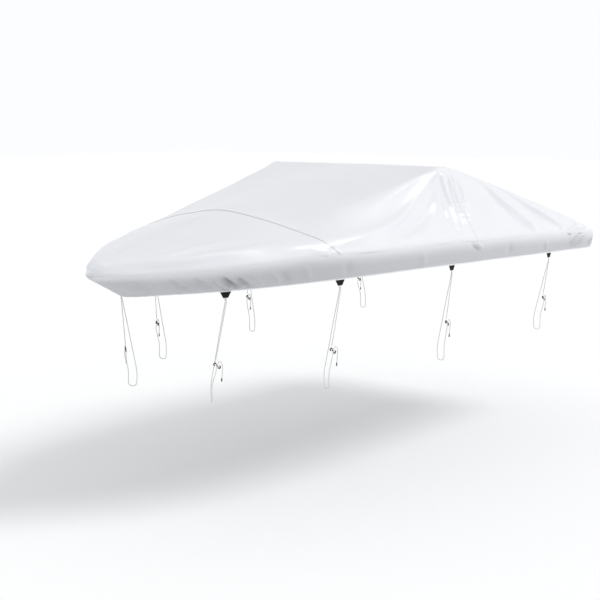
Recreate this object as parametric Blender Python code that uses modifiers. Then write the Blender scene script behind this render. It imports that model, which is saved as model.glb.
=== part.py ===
"""Fitted cover for a small runabout, tied down to the beams of its trailer.

Three cloths are sewn edge to edge over the boat: the bow panel, the middle panel that climbs to a
straight edge across the top, and the aft panel that falls to the stern. A skirt in three strips
hangs below them, and eight webbing tabs under its hem carry the tie ropes.

Metres. +X runs aft, -Y is port, +Z is up. The origin lies on the inner face of the cloth, under the
middle of the top edge, where the support that is left out carries the cover.
"""

import math
from collections import namedtuple

import bmesh
import bpy
import numpy as np
from mathutils import Vector

# ---- cloth ----
CLOTH = 0.0022          # coated polyester with its backing
SEAM_GAP = 0.0010       # between two cloths that are sewn edge to edge
CORNER_GAP = 0.0018     # the same where the outline turns a corner
LIP = 0.008             # the last strip of the panels and the first of the skirt hang plumb
TOP_LEAN = 0.020        # the support stands this far to starboard
SHOULDER_IN = 0.020     # the cloth rounds the gunwale over this width
FULL_SHOULDER = 0.30    # half breadth from which the rounding has its whole width

# ---- ties ----
ROPE_D = 0.006
ROPE_STEP = 0.110       # longest straight piece of a rope's tube
TAB_TOP = 0.074
TAB_FOOT = 0.036
TAB_DROP = 0.038
TAB_ROOM = 0.003        # the hem runs straight this far past the tab's top
TAB_SEAT = 0.0004       # from the hem down to the tab's top
WEBBING = 0.003
KNOT_R = 0.009
KNOT_SHAPE = (0.95, 0.80, 1.05)
STRAND_PITCH = 0.0045   # half the distance between the two ropes under the knot
BEAM_W = 0.050          # trailer beam that the long rope goes round
BEAM_H = 0.100
CLEAT_LENGTH = 0.056
CLEAT_WIDTH = 0.022
CLEAT_T = 0.005
CLEAT_TURN = math.radians(38)
TAIL_DROP = 0.085
END_LENGTH = 0.024
END_D = 0.010
TOUCH = 0.0004          # between a tie's pieces

# A station is one cross section of the cover, from the keel line out to the gunwale and down to
# the hem. Half breadths are positive, and both sides share them.
Station = namedtuple("Station", [
    "rim_x", "half_beam",       # gunwale line
    "keel_x", "crown_z",        # middle of the boat
    "ridge_y", "ridge_z",       # where the top turns into the side
    "side_y", "side_z",         # half way down the side
    "shoulder", "lip",          # heights over the gunwale line of its rounding and its plumb strip
    "rim_z",
    "hem_x", "hem_half", "hem_z"])

STATIONS = [Station(*row) for row in (
    # gunwale        keel            ridge         side          edge          hem
    (-2.820, 0.000, -2.820, -0.578, 0.000, -0.579, 0.000, -0.582, 0.014, LIP, -0.600, -2.520, 0.000, -0.782),
    (-2.818, 0.016, -2.815, -0.570, 0.010, -0.572, 0.014, -0.577, 0.016, LIP, -0.599, -2.518, 0.011, -0.782),
    (-2.795, 0.058, -2.785, -0.549, 0.032, -0.553, 0.048, -0.562, 0.020, LIP, -0.596, -2.505, 0.036, -0.781),
    (-2.725, 0.132, -2.695, -0.517, 0.080, -0.526, 0.114, -0.546, 0.026, LIP, -0.590, -2.470, 0.090, -0.779),
    (-2.590, 0.255, -2.560, -0.482, 0.160, -0.502, 0.225, -0.528, 0.030, LIP, -0.580, -2.400, 0.185, -0.772),
    (-2.300, 0.490, -2.290, -0.424, 0.320, -0.460, 0.448, -0.502, 0.032, LIP, -0.566, -2.210, 0.405, -0.756),
    (-1.950, 0.722, -1.940, -0.348, 0.490, -0.418, 0.665, -0.486, 0.034, LIP, -0.546, -1.910, 0.648, -0.734),
    (-1.570, 0.905, -1.570, -0.269, 0.640, -0.380, 0.850, -0.450, 0.036, LIP, -0.524, -1.555, 0.850, -0.712),
    (-1.150, 1.010, -1.150, -0.196, 0.675, -0.268, 0.920, -0.412, 0.036, LIP, -0.526, -1.145, 0.970, -0.702),
    (-0.700, 1.050, -0.700, -0.116, 0.722, -0.163, 0.928, -0.395, 0.036, LIP, -0.530, -0.700, 1.015, -0.704),
    (-0.300, 1.062, -0.300, -0.047, 0.768, -0.066, 0.920, -0.345, 0.036, LIP, -0.534, -0.300, 1.030, -0.711),
    (-0.070, 1.064, -0.070, -0.008, 0.790, -0.012, 0.908, -0.302, 0.036, LIP, -0.540, -0.070, 1.033, -0.717),
    (-0.010, 1.064, -0.010, CLOTH, 0.796, CLOTH, 0.905, -0.290, 0.036, LIP, -0.542, -0.010, 1.034, -0.719),
    (0.110, 1.063, 0.110, 0.002, 0.796, -0.008, 0.912, -0.280, 0.036, LIP, -0.550, 0.110, 1.033, -0.722),
    (0.330, 1.060, 0.330, -0.030, 0.800, -0.054, 0.930, -0.300, 0.036, LIP, -0.556, 0.330, 1.030, -0.727),
    (0.700, 1.056, 0.700, -0.115, 0.825, -0.155, 0.955, -0.365, 0.036, LIP, -0.570, 0.700, 1.028, -0.738),
    (1.150, 1.046, 1.150, -0.230, 0.850, -0.280, 0.968, -0.440, 0.036, LIP, -0.590, 1.148, 1.018, -0.752),
    (1.600, 1.034, 1.600, -0.355, 0.880, -0.405, 0.975, -0.510, 0.034, LIP, -0.610, 1.590, 1.004, -0.765),
    (2.020, 1.018, 2.020, -0.484, 0.905, -0.528, 0.972, -0.574, 0.030, LIP, -0.630, 2.010, 0.990, -0.778),
    (2.225, 0.998, 2.245, -0.568, 0.890, -0.592, 0.945, -0.606, 0.026, LIP, -0.643, 2.205, 0.975, -0.785),
    (2.285, 0.962, 2.315, -0.616, 0.860, -0.622, 0.905, -0.626, 0.018, LIP, -0.648, 2.255, 0.938, -0.787),
    (2.304, 0.930, 2.330, -0.640, 0.850, -0.640, 0.885, -0.640, LIP, LIP, -0.649, 2.272, 0.905, -0.787),
    (2.304, 0.930, 2.330, -0.649, 0.850, -0.649, 0.885, -0.649, 0.000, 0.0, -0.649, 2.272, 0.905, -0.787),
)]

# How far across, from the keel line at 0 to the gunwale at 1, each point of a section lies
QUARTER, RIDGE, SIDE, SHOULDER, PLUMB = 0.22, 0.50, 0.72, 0.90, 0.975
GABLE = 0.35            # share of the crown that is spent by the quarter point
PLUMB_DOWN = 0.05       # share of the skirt's drop that its plumb strip takes

# Seams: the place of each on the keel line, and how far it sweeps aft on its way to the gunwale
Seam = namedtuple("Seam", ["keel_x", "sweep", "power"])
FRONT_SEAM = Seam(-1.572, 0.150, 2.2)
REAR_SEAM = Seam(0.070, 0.055, 2.0)

# A fold is a soft ridge, or a trough where its height is negative, along a path over the cloth.
# A path's points are (x on the keel line, share across with port negative, share down the skirt).
Fold = namedtuple("Fold", ["name", "path", "height", "width", "spread", "head", "tail"])
CORNER = (-0.030, -0.53, 0.0)
FOLDS = [
    # path, height, width at its start and end, shares of the path over which it rises and fades
    Fold("upper fan ridge", [CORNER, (-0.19, -0.522, 0), (-0.44, -0.545, 0),
                             (-0.84, -0.580, 0), (-1.05, -0.60, 0)],
         0.010, 0.028, 0.055, 0.20, 0.40),
    Fold("upper fan trough", [(-0.10, -0.56, 0), (-0.45, -0.612, 0), (-0.92, -0.665, 0)],
         -0.010, 0.028, 0.055, 0.25, 0.45),
    Fold("main fan ridge", [CORNER, (-0.266, -0.595, 0), (-0.596, -0.660, 0), (-0.931, -0.722, 0),
                            (-1.324, -0.782, 0), (-1.443, -0.790, 0)],
         0.032, 0.028, 0.060, 0.10, 0.25),
    Fold("main fan trough", [(-0.13, -0.64, 0), (-0.27, -0.72, 0), (-0.50, -0.775, 0), (-1.10, -0.86, 0)],
         -0.020, 0.034, 0.075, 0.25, 0.45),
    Fold("gunwale ridge", [CORNER, (-0.040, -0.61, 0), (-0.004, -0.715, 0),
                           (-0.020, -0.82, 0), (0.021, -0.92, 0)],
         0.024, 0.020, 0.036, 0.12, 0.25),
    Fold("gunwale groove", [(-0.10, -0.66, 0), (-0.125, -0.748, 0),
                            (-0.10, -0.812, 0), (-0.038, -0.887, 0)],
         -0.014, 0.028, 0.032, 0.30, 0.30),
    Fold("behind the seam", [(0.150, -0.575, 0), (0.185, -0.657, 0),
                             (0.172, -0.758, 0), (0.125, -0.870, 0)],
         0.010, 0.014, 0.024, 0.25, 0.30),
    Fold("aft side ridge", [(0.40, -0.54, 0), (0.669, -0.630, 0), (0.85, -0.688, 0), (1.016, -0.785, 0),
                            (1.179, -0.955, 0)],
         0.017, 0.028, 0.044, 0.30, 0.20),
    Fold("aft side trough", [(0.40, -0.575, 0), (0.747, -0.715, 0), (0.989, -0.86, 0), (1.10, -0.98, 0)],
         -0.012, 0.032, 0.048, 0.35, 0.30),
    Fold("aft edge ridge", [(0.35, -0.525, 0), (0.867, -0.554, 0), (1.135, -0.618, 0), (1.403, -0.686, 0),
                            (1.543, -0.790, 0), (1.626, -0.960, 0)],
         0.016, 0.024, 0.034, 0.30, 0.15),
    Fold("stern dog ear", [(1.640, -0.99, 0), (1.790, -0.905, 0), (1.905, -0.825, 0), (2.010, -0.745, 0)],
         0.018, 0.026, 0.038, 0.20, 0.25),
    Fold("stern corner pleat", [(2.06, -0.985, 0), (1.92, -1.0, 0.35), (1.74, -1.0, 0.85)],
         0.009, 0.016, 0.020, 0.25, 0.35),
    Fold("stern corner trough", [(2.12, -0.985, 0), (2.00, -1.0, 0.40), (1.85, -1.0, 0.90)],
         -0.007, 0.014, 0.018, 0.25, 0.35),
    Fold("foredeck crease, port", [(-2.70, -0.80, 0), (-2.40, -0.60, 0),
                                   (-2.10, -0.52, 0), (-1.75, -0.50, 0)],
         0.007, 0.030, 0.060, 0.25, 0.45),
    Fold("foredeck shoulder, port", [(-2.52, -0.94, 0), (-2.27, -0.74, 0),
                                     (-1.95, -0.70, 0), (-1.65, -0.74, 0)],
         0.008, 0.030, 0.060, 0.25, 0.35),
    Fold("foredeck crease, starboard", [(-2.65, 0.70, 0), (-2.35, 0.50, 0), (-1.95, 0.45, 0)],
         0.006, 0.030, 0.060, 0.30, 0.45),
    Fold("upper fan ridge, starboard", [(-0.03, 0.50, 0), (-0.277, 0.45, 0),
                                        (-0.869, 0.31, 0), (-1.269, 0.235, 0)],
         0.010, 0.025, 0.055, 0.15, 0.50),
    Fold("main fan ridge, starboard", [(-0.03, 0.53, 0), (-0.36, 0.66, 0),
                                       (-0.70, 0.71, 0), (-1.15, 0.76, 0)],
         0.024, 0.028, 0.065, 0.15, 0.40),
    Fold("main fan trough, starboard", [(-0.10, 0.66, 0), (-0.28, 0.78, 0), (-0.80, 0.87, 0)],
         -0.018, 0.040, 0.080, 0.35, 0.50),
    Fold("gunwale ridge, starboard", [(-0.03, 0.53, 0), (-0.06, 0.70, 0), (-0.03, 0.92, 0)],
         0.020, 0.020, 0.045, 0.15, 0.30),
    Fold("behind the seam, starboard", [(0.15, 0.58, 0), (0.22, 0.72, 0), (0.19, 0.90, 0)],
         0.010, 0.014, 0.026, 0.30, 0.35),
    Fold("aft side ridge, starboard", [(0.20, 0.56, 0), (0.50, 0.65, 0), (0.95, 0.79, 0), (1.25, 0.93, 0)],
         0.014, 0.030, 0.055, 0.25, 0.35),
    Fold("aft edge ridge, starboard", [(0.18, 0.547, 0), (0.60, 0.54, 0), (1.10, 0.60, 0), (1.65, 0.78, 0)],
         0.012, 0.022, 0.032, 0.20, 0.30),
    Fold("stern dog ear, starboard", [(2.10, 0.64, 0), (1.98, 0.86, 0), (1.80, 0.97, 0)],
         0.013, 0.026, 0.030, 0.30, 0.30),
]

# Slanting wrinkles of the skirt near the bow: gunwale x at the top, how far aft the foot lies,
# and the height. They stand on both sides, those to starboard a little aft and lower.
Wrinkle = namedtuple("Wrinkle", ["x", "run", "height"])
SKIRT_WRINKLES = [Wrinkle(*row) for row in (
    (-2.66, 0.10, 0.005), (-2.55, 0.12, 0.007), (-2.42, 0.12, -0.007), (-2.31, 0.13, 0.008),
    (-2.17, 0.13, -0.008), (-2.05, 0.12, 0.008), (-1.92, 0.11, -0.006), (-1.78, 0.10, 0.005),
    (-1.30, 0.06, 0.003), (-0.55, 0.04, -0.003), (0.10, 0.02, 0.006), (0.16, 0.03, -0.005),
    (0.62, 0.03, 0.003), (1.25, 0.05, -0.003))]
STARBOARD_SHIFT, STARBOARD_SHARE = 0.05, 0.8
WRINKLE_WIDTH = 0.027

# Ties, from the bow: the hem's x at the tab, and the rope's loop round the beam
Tie = namedtuple("Tie", ["name", "hem_x", "loop_y", "loop_z", "cleat_z"])
TIES = [
    Tie("bow", -2.094, 0.385, -1.500, -1.243),
    Tie("fore", -1.392, 0.805, -1.470, -1.198),
    Tie("mid", -0.189, 0.955, -1.440, -1.152),
    Tie("aft", 1.360, 0.925, -1.420, -1.149),
]
SIDES = {"port": -1, "starboard": 1}

# ---- meshes: rows along each panel, and shares across one side of it ----
BOW_ROWS, MIDDLE_ROWS, AFT_ROWS = 13, 25, 24
STEM_ROWS = (0.0, 0.008, 0.02)  # the bow panel's first rows, as shares of its length
TO_TOP, TO_STERN = 1.30, 1.15   # rows crowd towards the top edge, from both sides, by these powers
STERN_ROUND = 0.012             # the aft panel's share from its last full row to its plumb strip
ACROSS = np.concatenate([np.linspace(0.0, 0.42, 4), np.linspace(0.48, SHOULDER, 9), [0.94, PLUMB, 1.0]])
DOWN = np.array([0.0, PLUMB_DOWN, 0.50, 1.0])
WRINKLED_X = (-2.70, -1.68)     # the skirt's lines stand closer here
LINE_ROOM = 0.015               # and keep this far from those at the tabs

COLOURS = {
    # base colour, roughness, metallic
    "cover_cloth": ((0.80, 0.82, 0.87), 0.42, 0.0),
    "skirt_cloth": ((0.74, 0.76, 0.80), 0.45, 0.0),
    "black_webbing": ((0.015, 0.015, 0.017), 0.70, 0.0),
    "white_rope": ((0.82, 0.82, 0.80), 0.75, 0.0),
    "black_plastic": ((0.020, 0.020, 0.022), 0.45, 0.0),
}


# ---------------------------------------------------------------- the surface of the cloth

def smooth(knots, values, at):
    """Read a smooth line through the values at the knots, without overshoot, at each place."""
    knots, at = np.asarray(knots, float), np.asarray(at, float)
    values = np.broadcast_to(np.asarray(values, float), at.shape + (len(knots),))
    step = np.diff(knots)
    slope = np.diff(values, axis=-1) / step
    before, after = slope[..., :-1], slope[..., 1:]
    flat = before * after <= 0.0
    weight_a, weight_b = 2 * step[1:] + step[:-1], step[1:] + 2 * step[:-1]
    mean = (weight_a + weight_b) / (weight_a / np.where(flat, 1.0, before)
                                    + weight_b / np.where(flat, 1.0, after))
    tangent = np.concatenate([slope[..., :1], np.where(flat, 0.0, mean), slope[..., -1:]], axis=-1)
    left = np.clip(np.searchsorted(knots, at) - 1, 0, len(knots) - 2)

    def pick(array, index):
        return np.take_along_axis(array, index[..., None], axis=-1)[..., 0]

    width = step[left]
    t = (at - knots[left]) / width
    return ((1 + 2 * t) * (1 - t) ** 2 * pick(values, left)
            + t * (1 - t) ** 2 * width * pick(tangent, left)
            + t * t * (3 - 2 * t) * pick(values, left + 1)
            - t * t * (1 - t) * width * pick(tangent, left + 1))


def station_distances():
    """Distance of each station from the stem, along the gunwale line."""
    rows = np.array([(s.rim_x, s.half_beam, s.crown_z) for s in STATIONS])
    return np.concatenate([[0.0], np.cumsum(np.linalg.norm(np.diff(rows, axis=0), axis=1))])


DISTANCE = station_distances()
STERN = DISTANCE[-1]
TABLE = {field: np.array([getattr(s, field) for s in STATIONS]) for field in Station._fields}


def column(field, along):
    """A station column at each distance along the gunwale line."""
    return smooth(DISTANCE, TABLE[field], along)


def along_at(keel_x):
    """Distance along the gunwale line of the section that crosses the keel line at keel_x."""
    fine = np.linspace(0.0, STERN, 4001)
    return np.interp(keel_x, column("keel_x", fine), fine)


def bend(share):
    """How far a line across has run from its keel point to its gunwale point, fore and aft."""
    return np.clip(share / PLUMB, 0.0, 1.0) ** 2


def top_point(along, across):
    """Points of the three panels. across runs from -1 at the port gunwale to 1."""
    share, side = np.abs(across), np.sign(across)
    part = {field: column(field, along) for field in Station._fields}
    rounding = SHOULDER_IN * np.clip(part["half_beam"] / FULL_SHOULDER, 0.0, 1.0)
    breadth = [0 * share, 0.5 * part["ridge_y"], part["ridge_y"], part["side_y"],
               part["half_beam"] - rounding, part["half_beam"], part["half_beam"]]
    quarter = part["crown_z"] + GABLE * (part["ridge_z"] - part["crown_z"])
    height = [part["crown_z"], quarter, part["ridge_z"], part["side_z"],
              part["rim_z"] + part["shoulder"], part["rim_z"] + part["lip"], part["rim_z"]]
    knots = [-QUARTER, 0.0, QUARTER, RIDGE, SIDE, SHOULDER, PLUMB, 1.0]
    y = smooth(knots, np.stack([-breadth[1]] + breadth, axis=-1), share)
    z = smooth(knots, np.stack([height[1]] + height, axis=-1), share)
    x = part["keel_x"] + (part["rim_x"] - part["keel_x"]) * bend(share)
    lean = TOP_LEAN * np.clip((z - part["rim_z"]) / abs(min(TABLE["rim_z"])), 0.0, 1.0)
    return np.stack([x, side * y + lean, z], axis=-1)


def hem_point(along, across):
    """Points of the hem, under the gunwale line or, at the stern, under the transom edge."""
    bow = column("keel_x", along) - column("rim_x", along)
    x = column("hem_x", along) + bow * (1 - bend(np.abs(across)))
    y = np.clip(across / PLUMB, -1.0, 1.0) * column("hem_half", along)
    return np.stack([x, y, column("hem_z", along)], axis=-1)


def base_point(along, across, down):
    """Points of the smooth cover: a panel where down is 0, the skirt below it."""
    along, across, down = np.broadcast_arrays(*(np.asarray(a, float) for a in (along, across, down)))
    top = top_point(along, across)
    hem = hem_point(along, across)
    inward = np.clip((down - PLUMB_DOWN) / (1 - PLUMB_DOWN), 0.0, 1.0)
    share = np.stack([inward, inward, down], axis=-1)
    return top + (hem - top) * share


def base_normal(along, across, down, strip):
    """Outward normals of the smooth cover on the strip 'top', 'side' or 'transom'."""
    along, across, down = np.broadcast_arrays(*(np.asarray(a, float) for a in (along, across, down)))
    step = 0.002

    def slope(axis):
        low, high = [along, across, down], [along, across, down]
        bounds = ((0.0, STERN), (-1.0, 1.0), (0.0, 1.0))[axis]
        low[axis] = np.clip(low[axis] - step, *bounds)
        high[axis] = np.clip(high[axis] + step, *bounds)
        return base_point(*high) - base_point(*low)

    if strip == "top":
        normal = np.cross(slope(0), slope(1))
    elif strip == "side":
        normal = np.cross(slope(0), slope(2)) * -np.sign(across)[..., None]
    else:
        normal = np.cross(slope(2), slope(1)) * -1
    length = np.linalg.norm(normal, axis=-1, keepdims=True)
    return normal / np.maximum(length, 1e-12)


def fold_path(points):
    """A fold's path as a fine line on the smooth cover."""
    rows = np.array(points, float)
    knots = np.arange(len(rows))
    at = np.linspace(0, len(rows) - 1, 8 * (len(rows) - 1) + 1)
    return base_point(along_at(smooth(knots, rows[:, 0], at)),
                      smooth(knots, rows[:, 1], at), smooth(knots, rows[:, 2], at))


def ramp(value):
    """0 to 1 with a soft start and end."""
    value = np.clip(value, 0.0, 1.0)
    return value * value * (3 - 2 * value)


def fold_height(points, fold):
    """How far one fold lifts the cloth at each point."""
    line = fold_path(fold.path)
    start, run = line[:-1], np.diff(line, axis=0)
    offset = points[:, None, :] - start[None]
    t = np.clip((offset * run).sum(-1) / (run ** 2).sum(-1), 0.0, 1.0)
    distance = np.linalg.norm(offset - t[..., None] * run[None], axis=-1)
    nearest = distance.argmin(axis=1)
    pick = np.arange(len(points))
    place = (nearest + t[pick, nearest]) / len(run)
    width = fold.width + (fold.spread - fold.width) * place
    strength = ramp(place / fold.head) * ramp((1 - place) / fold.tail)
    return fold.height * strength * np.exp(-(distance[pick, nearest] / width) ** 2)


def skirt_folds():
    """The skirt's slanting wrinkles, as folds on both sides."""
    folds = []
    for side in SIDES.values():
        shift, share = (STARBOARD_SHIFT, STARBOARD_SHARE) if side > 0 else (0.0, 1.0)
        for wrinkle in SKIRT_WRINKLES:
            x = wrinkle.x + shift
            path = [(x, side, 0.08), (x + 0.45 * wrinkle.run, side, 0.50), (x + wrinkle.run, side, 1.0)]
            folds.append(Fold("wrinkle", path, wrinkle.height * share, WRINKLE_WIDTH,
                              WRINKLE_WIDTH, 0.45, 0.35))
    return folds


def cloth_grid(along, across, down, strip):
    """A grid of points of the folded cover, outer face."""
    base = base_point(along, across, down)
    normal = base_normal(along, across, down, strip)
    flat = base.reshape(-1, 3)
    lift = sum(fold_height(flat, fold) for fold in FOLDS + skirt_folds())
    return base + normal * lift.reshape(base.shape[:-1])[..., None]


def trim_ends(points, gap):
    """Draw the first and last lines of a strip in, so that it stays clear of its neighbours."""
    for end, inner in ((0, 1), (-1, -2)):
        run = points[:, inner] - points[:, end]
        points[:, end] += run * gap / np.linalg.norm(run, axis=-1, keepdims=True)
    return points


def seam_along(seam, share):
    """Where a seam crosses each line along the cover."""
    return along_at(seam.keel_x + seam.sweep * share ** seam.power)


# ---------------------------------------------------------------- Blender objects

def clear_scene():
    """Take away whatever the scene holds."""
    for item in list(bpy.data.objects):
        bpy.data.objects.remove(item, do_unlink=True)


def material(name):
    """The Principled material of one finish."""
    found = bpy.data.materials.get(name)
    if found:
        return found
    colour, roughness, metallic = COLOURS[name]
    made = bpy.data.materials.new(name)
    made.use_nodes = True
    shader = made.node_tree.nodes["Principled BSDF"]
    shader.inputs["Base Color"].default_value = (*colour, 1.0)
    shader.inputs["Roughness"].default_value = roughness
    shader.inputs["Metallic"].default_value = metallic
    made.diffuse_color = (*colour, 1.0)
    return made


def new_object(name, data, finish, collection):
    """An object of the collection with its finish."""
    made = bpy.data.objects.new(name, data)
    made.data.materials.append(material(finish))
    collection.objects.link(made)
    return made


def sheet(name, points, finish, collection):
    """Cloth from a grid of outer points: rows run aft, columns to starboard, outside up."""
    rows, columns = points.shape[:2]
    bm = bmesh.new()
    bmesh.ops.create_grid(bm, x_segments=rows - 1, y_segments=columns - 1, size=0.5)
    for vert in bm.verts:
        row = round((vert.co.x + 0.5) * (rows - 1))
        across = round((vert.co.y + 0.5) * (columns - 1))
        vert.co = Vector(points[row, across])
    bmesh.ops.remove_doubles(bm, verts=bm.verts, dist=0.00005)
    mesh = bpy.data.meshes.new(name)
    bm.to_mesh(mesh)
    bm.free()
    mesh.shade_smooth()
    made = new_object(name, mesh, finish, collection)
    wall = made.modifiers.new("thickness", "SOLIDIFY")
    wall.thickness = CLOTH
    wall.offset = -1.0
    return made


def panel(name, rows, start, end, finish, collection):
    """One of the three top cloths, between two lines across the cover."""
    across = np.concatenate([-ACROSS[:0:-1], ACROSS])
    share = np.abs(across)
    t = rows[:, None]
    middle = start(0.0) + (end(0.0) - start(0.0)) * t
    along = middle + (start(share) - start(0.0)) * (1 - t) ** 2 + (end(share) - end(0.0)) * t ** 2
    points = cloth_grid(along, across[None, :], 0.0, "top")
    sheet(name, points, finish, collection)
    return along[:, -1]


def build_cloth(collection):
    """The three panels and the three strips of the skirt."""
    half = SEAM_GAP / 2
    bow_rows = np.concatenate([STEM_ROWS[:-1], np.linspace(STEM_ROWS[-1], 1.0, BOW_ROWS)])
    last = 1.0 - LIP / (STERN - seam_along(REAR_SEAM, 0.0))
    aft_rows = np.linspace(0.0, 1.0, AFT_ROWS) ** TO_STERN * (last - STERN_ROUND)
    aft_rows = np.concatenate([aft_rows, [last, 1.0]])
    middle_rows = 1 - (1 - np.linspace(0.0, 1.0, MIDDLE_ROWS)) ** TO_TOP
    edges = [
        panel("bow_panel", bow_rows, lambda share: 0.0 * share,
              lambda share: seam_along(FRONT_SEAM, share) - half, "cover_cloth", collection),
        panel("middle_panel", middle_rows, lambda share: seam_along(FRONT_SEAM, share) + half,
              lambda share: seam_along(REAR_SEAM, share) - half, "cover_cloth", collection),
        panel("aft_panel", aft_rows, lambda share: seam_along(REAR_SEAM, share) + half,
              lambda share: STERN + 0.0 * share, "cover_cloth", collection)]
    along = np.concatenate([edges[0][:-1], [(edges[0][-1] + edges[1][0]) / 2], edges[1][1:-1],
                            [(edges[1][-1] + edges[2][0]) / 2], edges[2][1:-1]])
    along[-1] = DISTANCE[-2]
    wrinkled = along[(column("rim_x", along) > WRINKLED_X[0]) & (column("rim_x", along) < WRINKLED_X[1])]
    thirds = [a + (b - a) * k / 3 for a, b in zip(wrinkled, wrinkled[1:]) for k in (1, 2)]
    tabs = [tie_lines(tie) for tie in TIES]
    free = [line for line in np.concatenate([along, thirds])
            if all(line < lines[0] - LINE_ROOM or line > lines[2] + LINE_ROOM for lines in tabs)]
    along = np.sort(np.concatenate([free] + tabs))
    below = np.array([0.0, 0.0, SEAM_GAP])
    for name, side in SIDES.items():
        points = cloth_grid(along[None, :], float(side), DOWN[:, None], "side") - below
        points = trim_ends(points, CORNER_GAP / 2).transpose(1, 0, 2)
        sheet("skirt_" + name, points if side > 0 else points[:, ::-1], "skirt_cloth", collection)
    across = np.concatenate([-ACROSS[:0:-1], ACROSS])[1:-1]
    points = cloth_grid(STERN, across[None, :], DOWN[:, None], "transom") - below
    sheet("skirt_transom", trim_ends(points, CORNER_GAP / 2), "skirt_cloth", collection)


def tie_lines(tie):
    """The skirt's lines before, at the middle of and behind a tie's tab."""
    fine = np.linspace(0.0, DISTANCE[-2], 2001)
    hem = hem_point(fine, -1.0)
    run = np.concatenate([[0.0], np.cumsum(np.linalg.norm(np.diff(hem, axis=0), axis=1))])
    middle = np.interp(tie.hem_x, hem[:, 0], run)
    return np.interp(middle + np.array([-1.0, 0.0, 1.0]) * (TAB_TOP / 2 + TAB_ROOM), run, fine)


def hem_place(tie, side):
    """Outer point of the hem over a tie, its direction aft, and the level direction outboard."""
    fore, middle, aft = cloth_grid(tie_lines(tie)[None, :], float(side), 1.0, "side")[0]
    run = (aft - fore) / np.linalg.norm(aft - fore)
    outward = np.cross(run, (0.0, 0.0, 1.0)) * -side
    place = (fore + aft) / 2
    place[2] = min(place[2], middle[2]) - SEAM_GAP
    return place, run, outward / np.linalg.norm(outward)


def smooth_route(points, spacing):
    """Points along a smooth curve through the route's own points."""
    rows = [Vector(p) for p in points]
    rows = [2 * rows[0] - rows[1]] + rows + [2 * rows[-1] - rows[-2]]
    route = []
    for before, start, end, after in zip(rows, rows[1:], rows[2:], rows[3:]):
        count = max(1, round((end - start).length / spacing))
        for k in range(count):
            t = k / count
            route.append(0.5 * ((2 * start) + (end - before) * t
                                + (2 * before - 5 * start + 4 * end - after) * t ** 2
                                + (3 * start - before - 3 * end + after) * t ** 3))
    return route + [rows[-2]]


def rope(name, route, collection):
    """A round rope along a route, with closed ends."""
    curve = bpy.data.curves.new(name, "CURVE")
    curve.dimensions = "3D"
    curve.bevel_depth = ROPE_D / 2
    curve.bevel_resolution = 2
    curve.use_fill_caps = True
    spline = curve.splines.new("POLY")
    spline.points.add(len(route) - 1)
    for point, place in zip(spline.points, route):
        point.co = (*place, 1.0)
    return new_object(name, curve, "white_rope", collection)


def place_mesh(name, bm, finish, collection, smooth_faces=False):
    """An object from a finished bmesh."""
    bm.normal_update()
    bmesh.ops.recalc_face_normals(bm, faces=bm.faces)
    mesh = bpy.data.meshes.new(name)
    bm.to_mesh(mesh)
    bm.free()
    if smooth_faces:
        mesh.shade_smooth()
    return new_object(name, mesh, finish, collection)


def build_tab(name, hem, aft, outward, collection):
    """A webbing loop seen as a tapered flap under the hem."""
    bm = bmesh.new()
    bmesh.ops.create_grid(bm, x_segments=2, y_segments=2, size=0.5)
    for vert in bm.verts:
        down = 0.5 - vert.co.y
        half = (TAB_TOP + (TAB_FOOT - TAB_TOP) * down) / 2
        place = hem + aft * (2 * vert.co.x * half) - outward * (CLOTH + WEBBING) / 2
        vert.co = Vector(place) - Vector((0.0, 0.0, TAB_SEAT + TAB_DROP * down))
    solid = bmesh.ops.extrude_face_region(bm, geom=list(bm.faces))
    for item in solid["geom"]:
        if isinstance(item, bmesh.types.BMVert):
            item.co += Vector(outward) * WEBBING
    place_mesh(name, bm, "black_webbing", collection)


def cleat_outline():
    """Half of the cleat's outline: a bar with a hook at its end. The other half is turned round."""
    length, width = CLEAT_LENGTH / 2, CLEAT_WIDTH / 2
    slot = 0.28 * CLEAT_WIDTH
    return [(0.30 * length, -0.45 * width), (0.55 * length, -width), (0.90 * length, -width),
            (length, -0.55 * width), (length, 0.55 * width), (0.88 * length, width),
            (0.45 * length, width), (0.45 * length, width - slot), (0.72 * length, width - slot),
            (0.76 * length, 0.10 * width), (0.70 * length, -0.25 * width),
            (0.45 * length, -0.20 * width), (0.10 * length, 0.45 * width)]


def build_cleat(name, centre, aft, outward, collection):
    """A flat plastic rope tightener in the shape of an S, turned about the outward axis."""
    half = cleat_outline()
    outline = half + [(-x, -y) for x, y in half]
    turn_x = math.cos(CLEAT_TURN) * Vector(aft) + math.sin(CLEAT_TURN) * Vector((0, 0, -1))
    turn_z = math.sin(CLEAT_TURN) * Vector(aft) + math.cos(CLEAT_TURN) * Vector((0, 0, 1))
    bm = bmesh.new()
    back = -CLEAT_T / 2 * Vector(outward)
    verts = [bm.verts.new(Vector(centre) + back + turn_x * x + turn_z * y) for x, y in outline]
    face = bm.faces.new(verts)
    solid = bmesh.ops.extrude_face_region(bm, geom=[face])
    for item in solid["geom"]:
        if isinstance(item, bmesh.types.BMVert):
            item.co += Vector(outward) * CLEAT_T
    bmesh.ops.triangulate(bm, faces=[f for f in bm.faces if len(f.verts) > 4])
    place_mesh(name, bm, "black_plastic", collection)


def build_knot(name, centre, collection):
    """The overhand knot under a tab."""
    bm = bmesh.new()
    bmesh.ops.create_uvsphere(bm, u_segments=10, v_segments=6, radius=KNOT_R)
    for vert in bm.verts:
        vert.co = vert.co * Vector(KNOT_SHAPE) + Vector(centre)
    place_mesh(name, bm, "white_rope", collection, smooth_faces=True)


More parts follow.
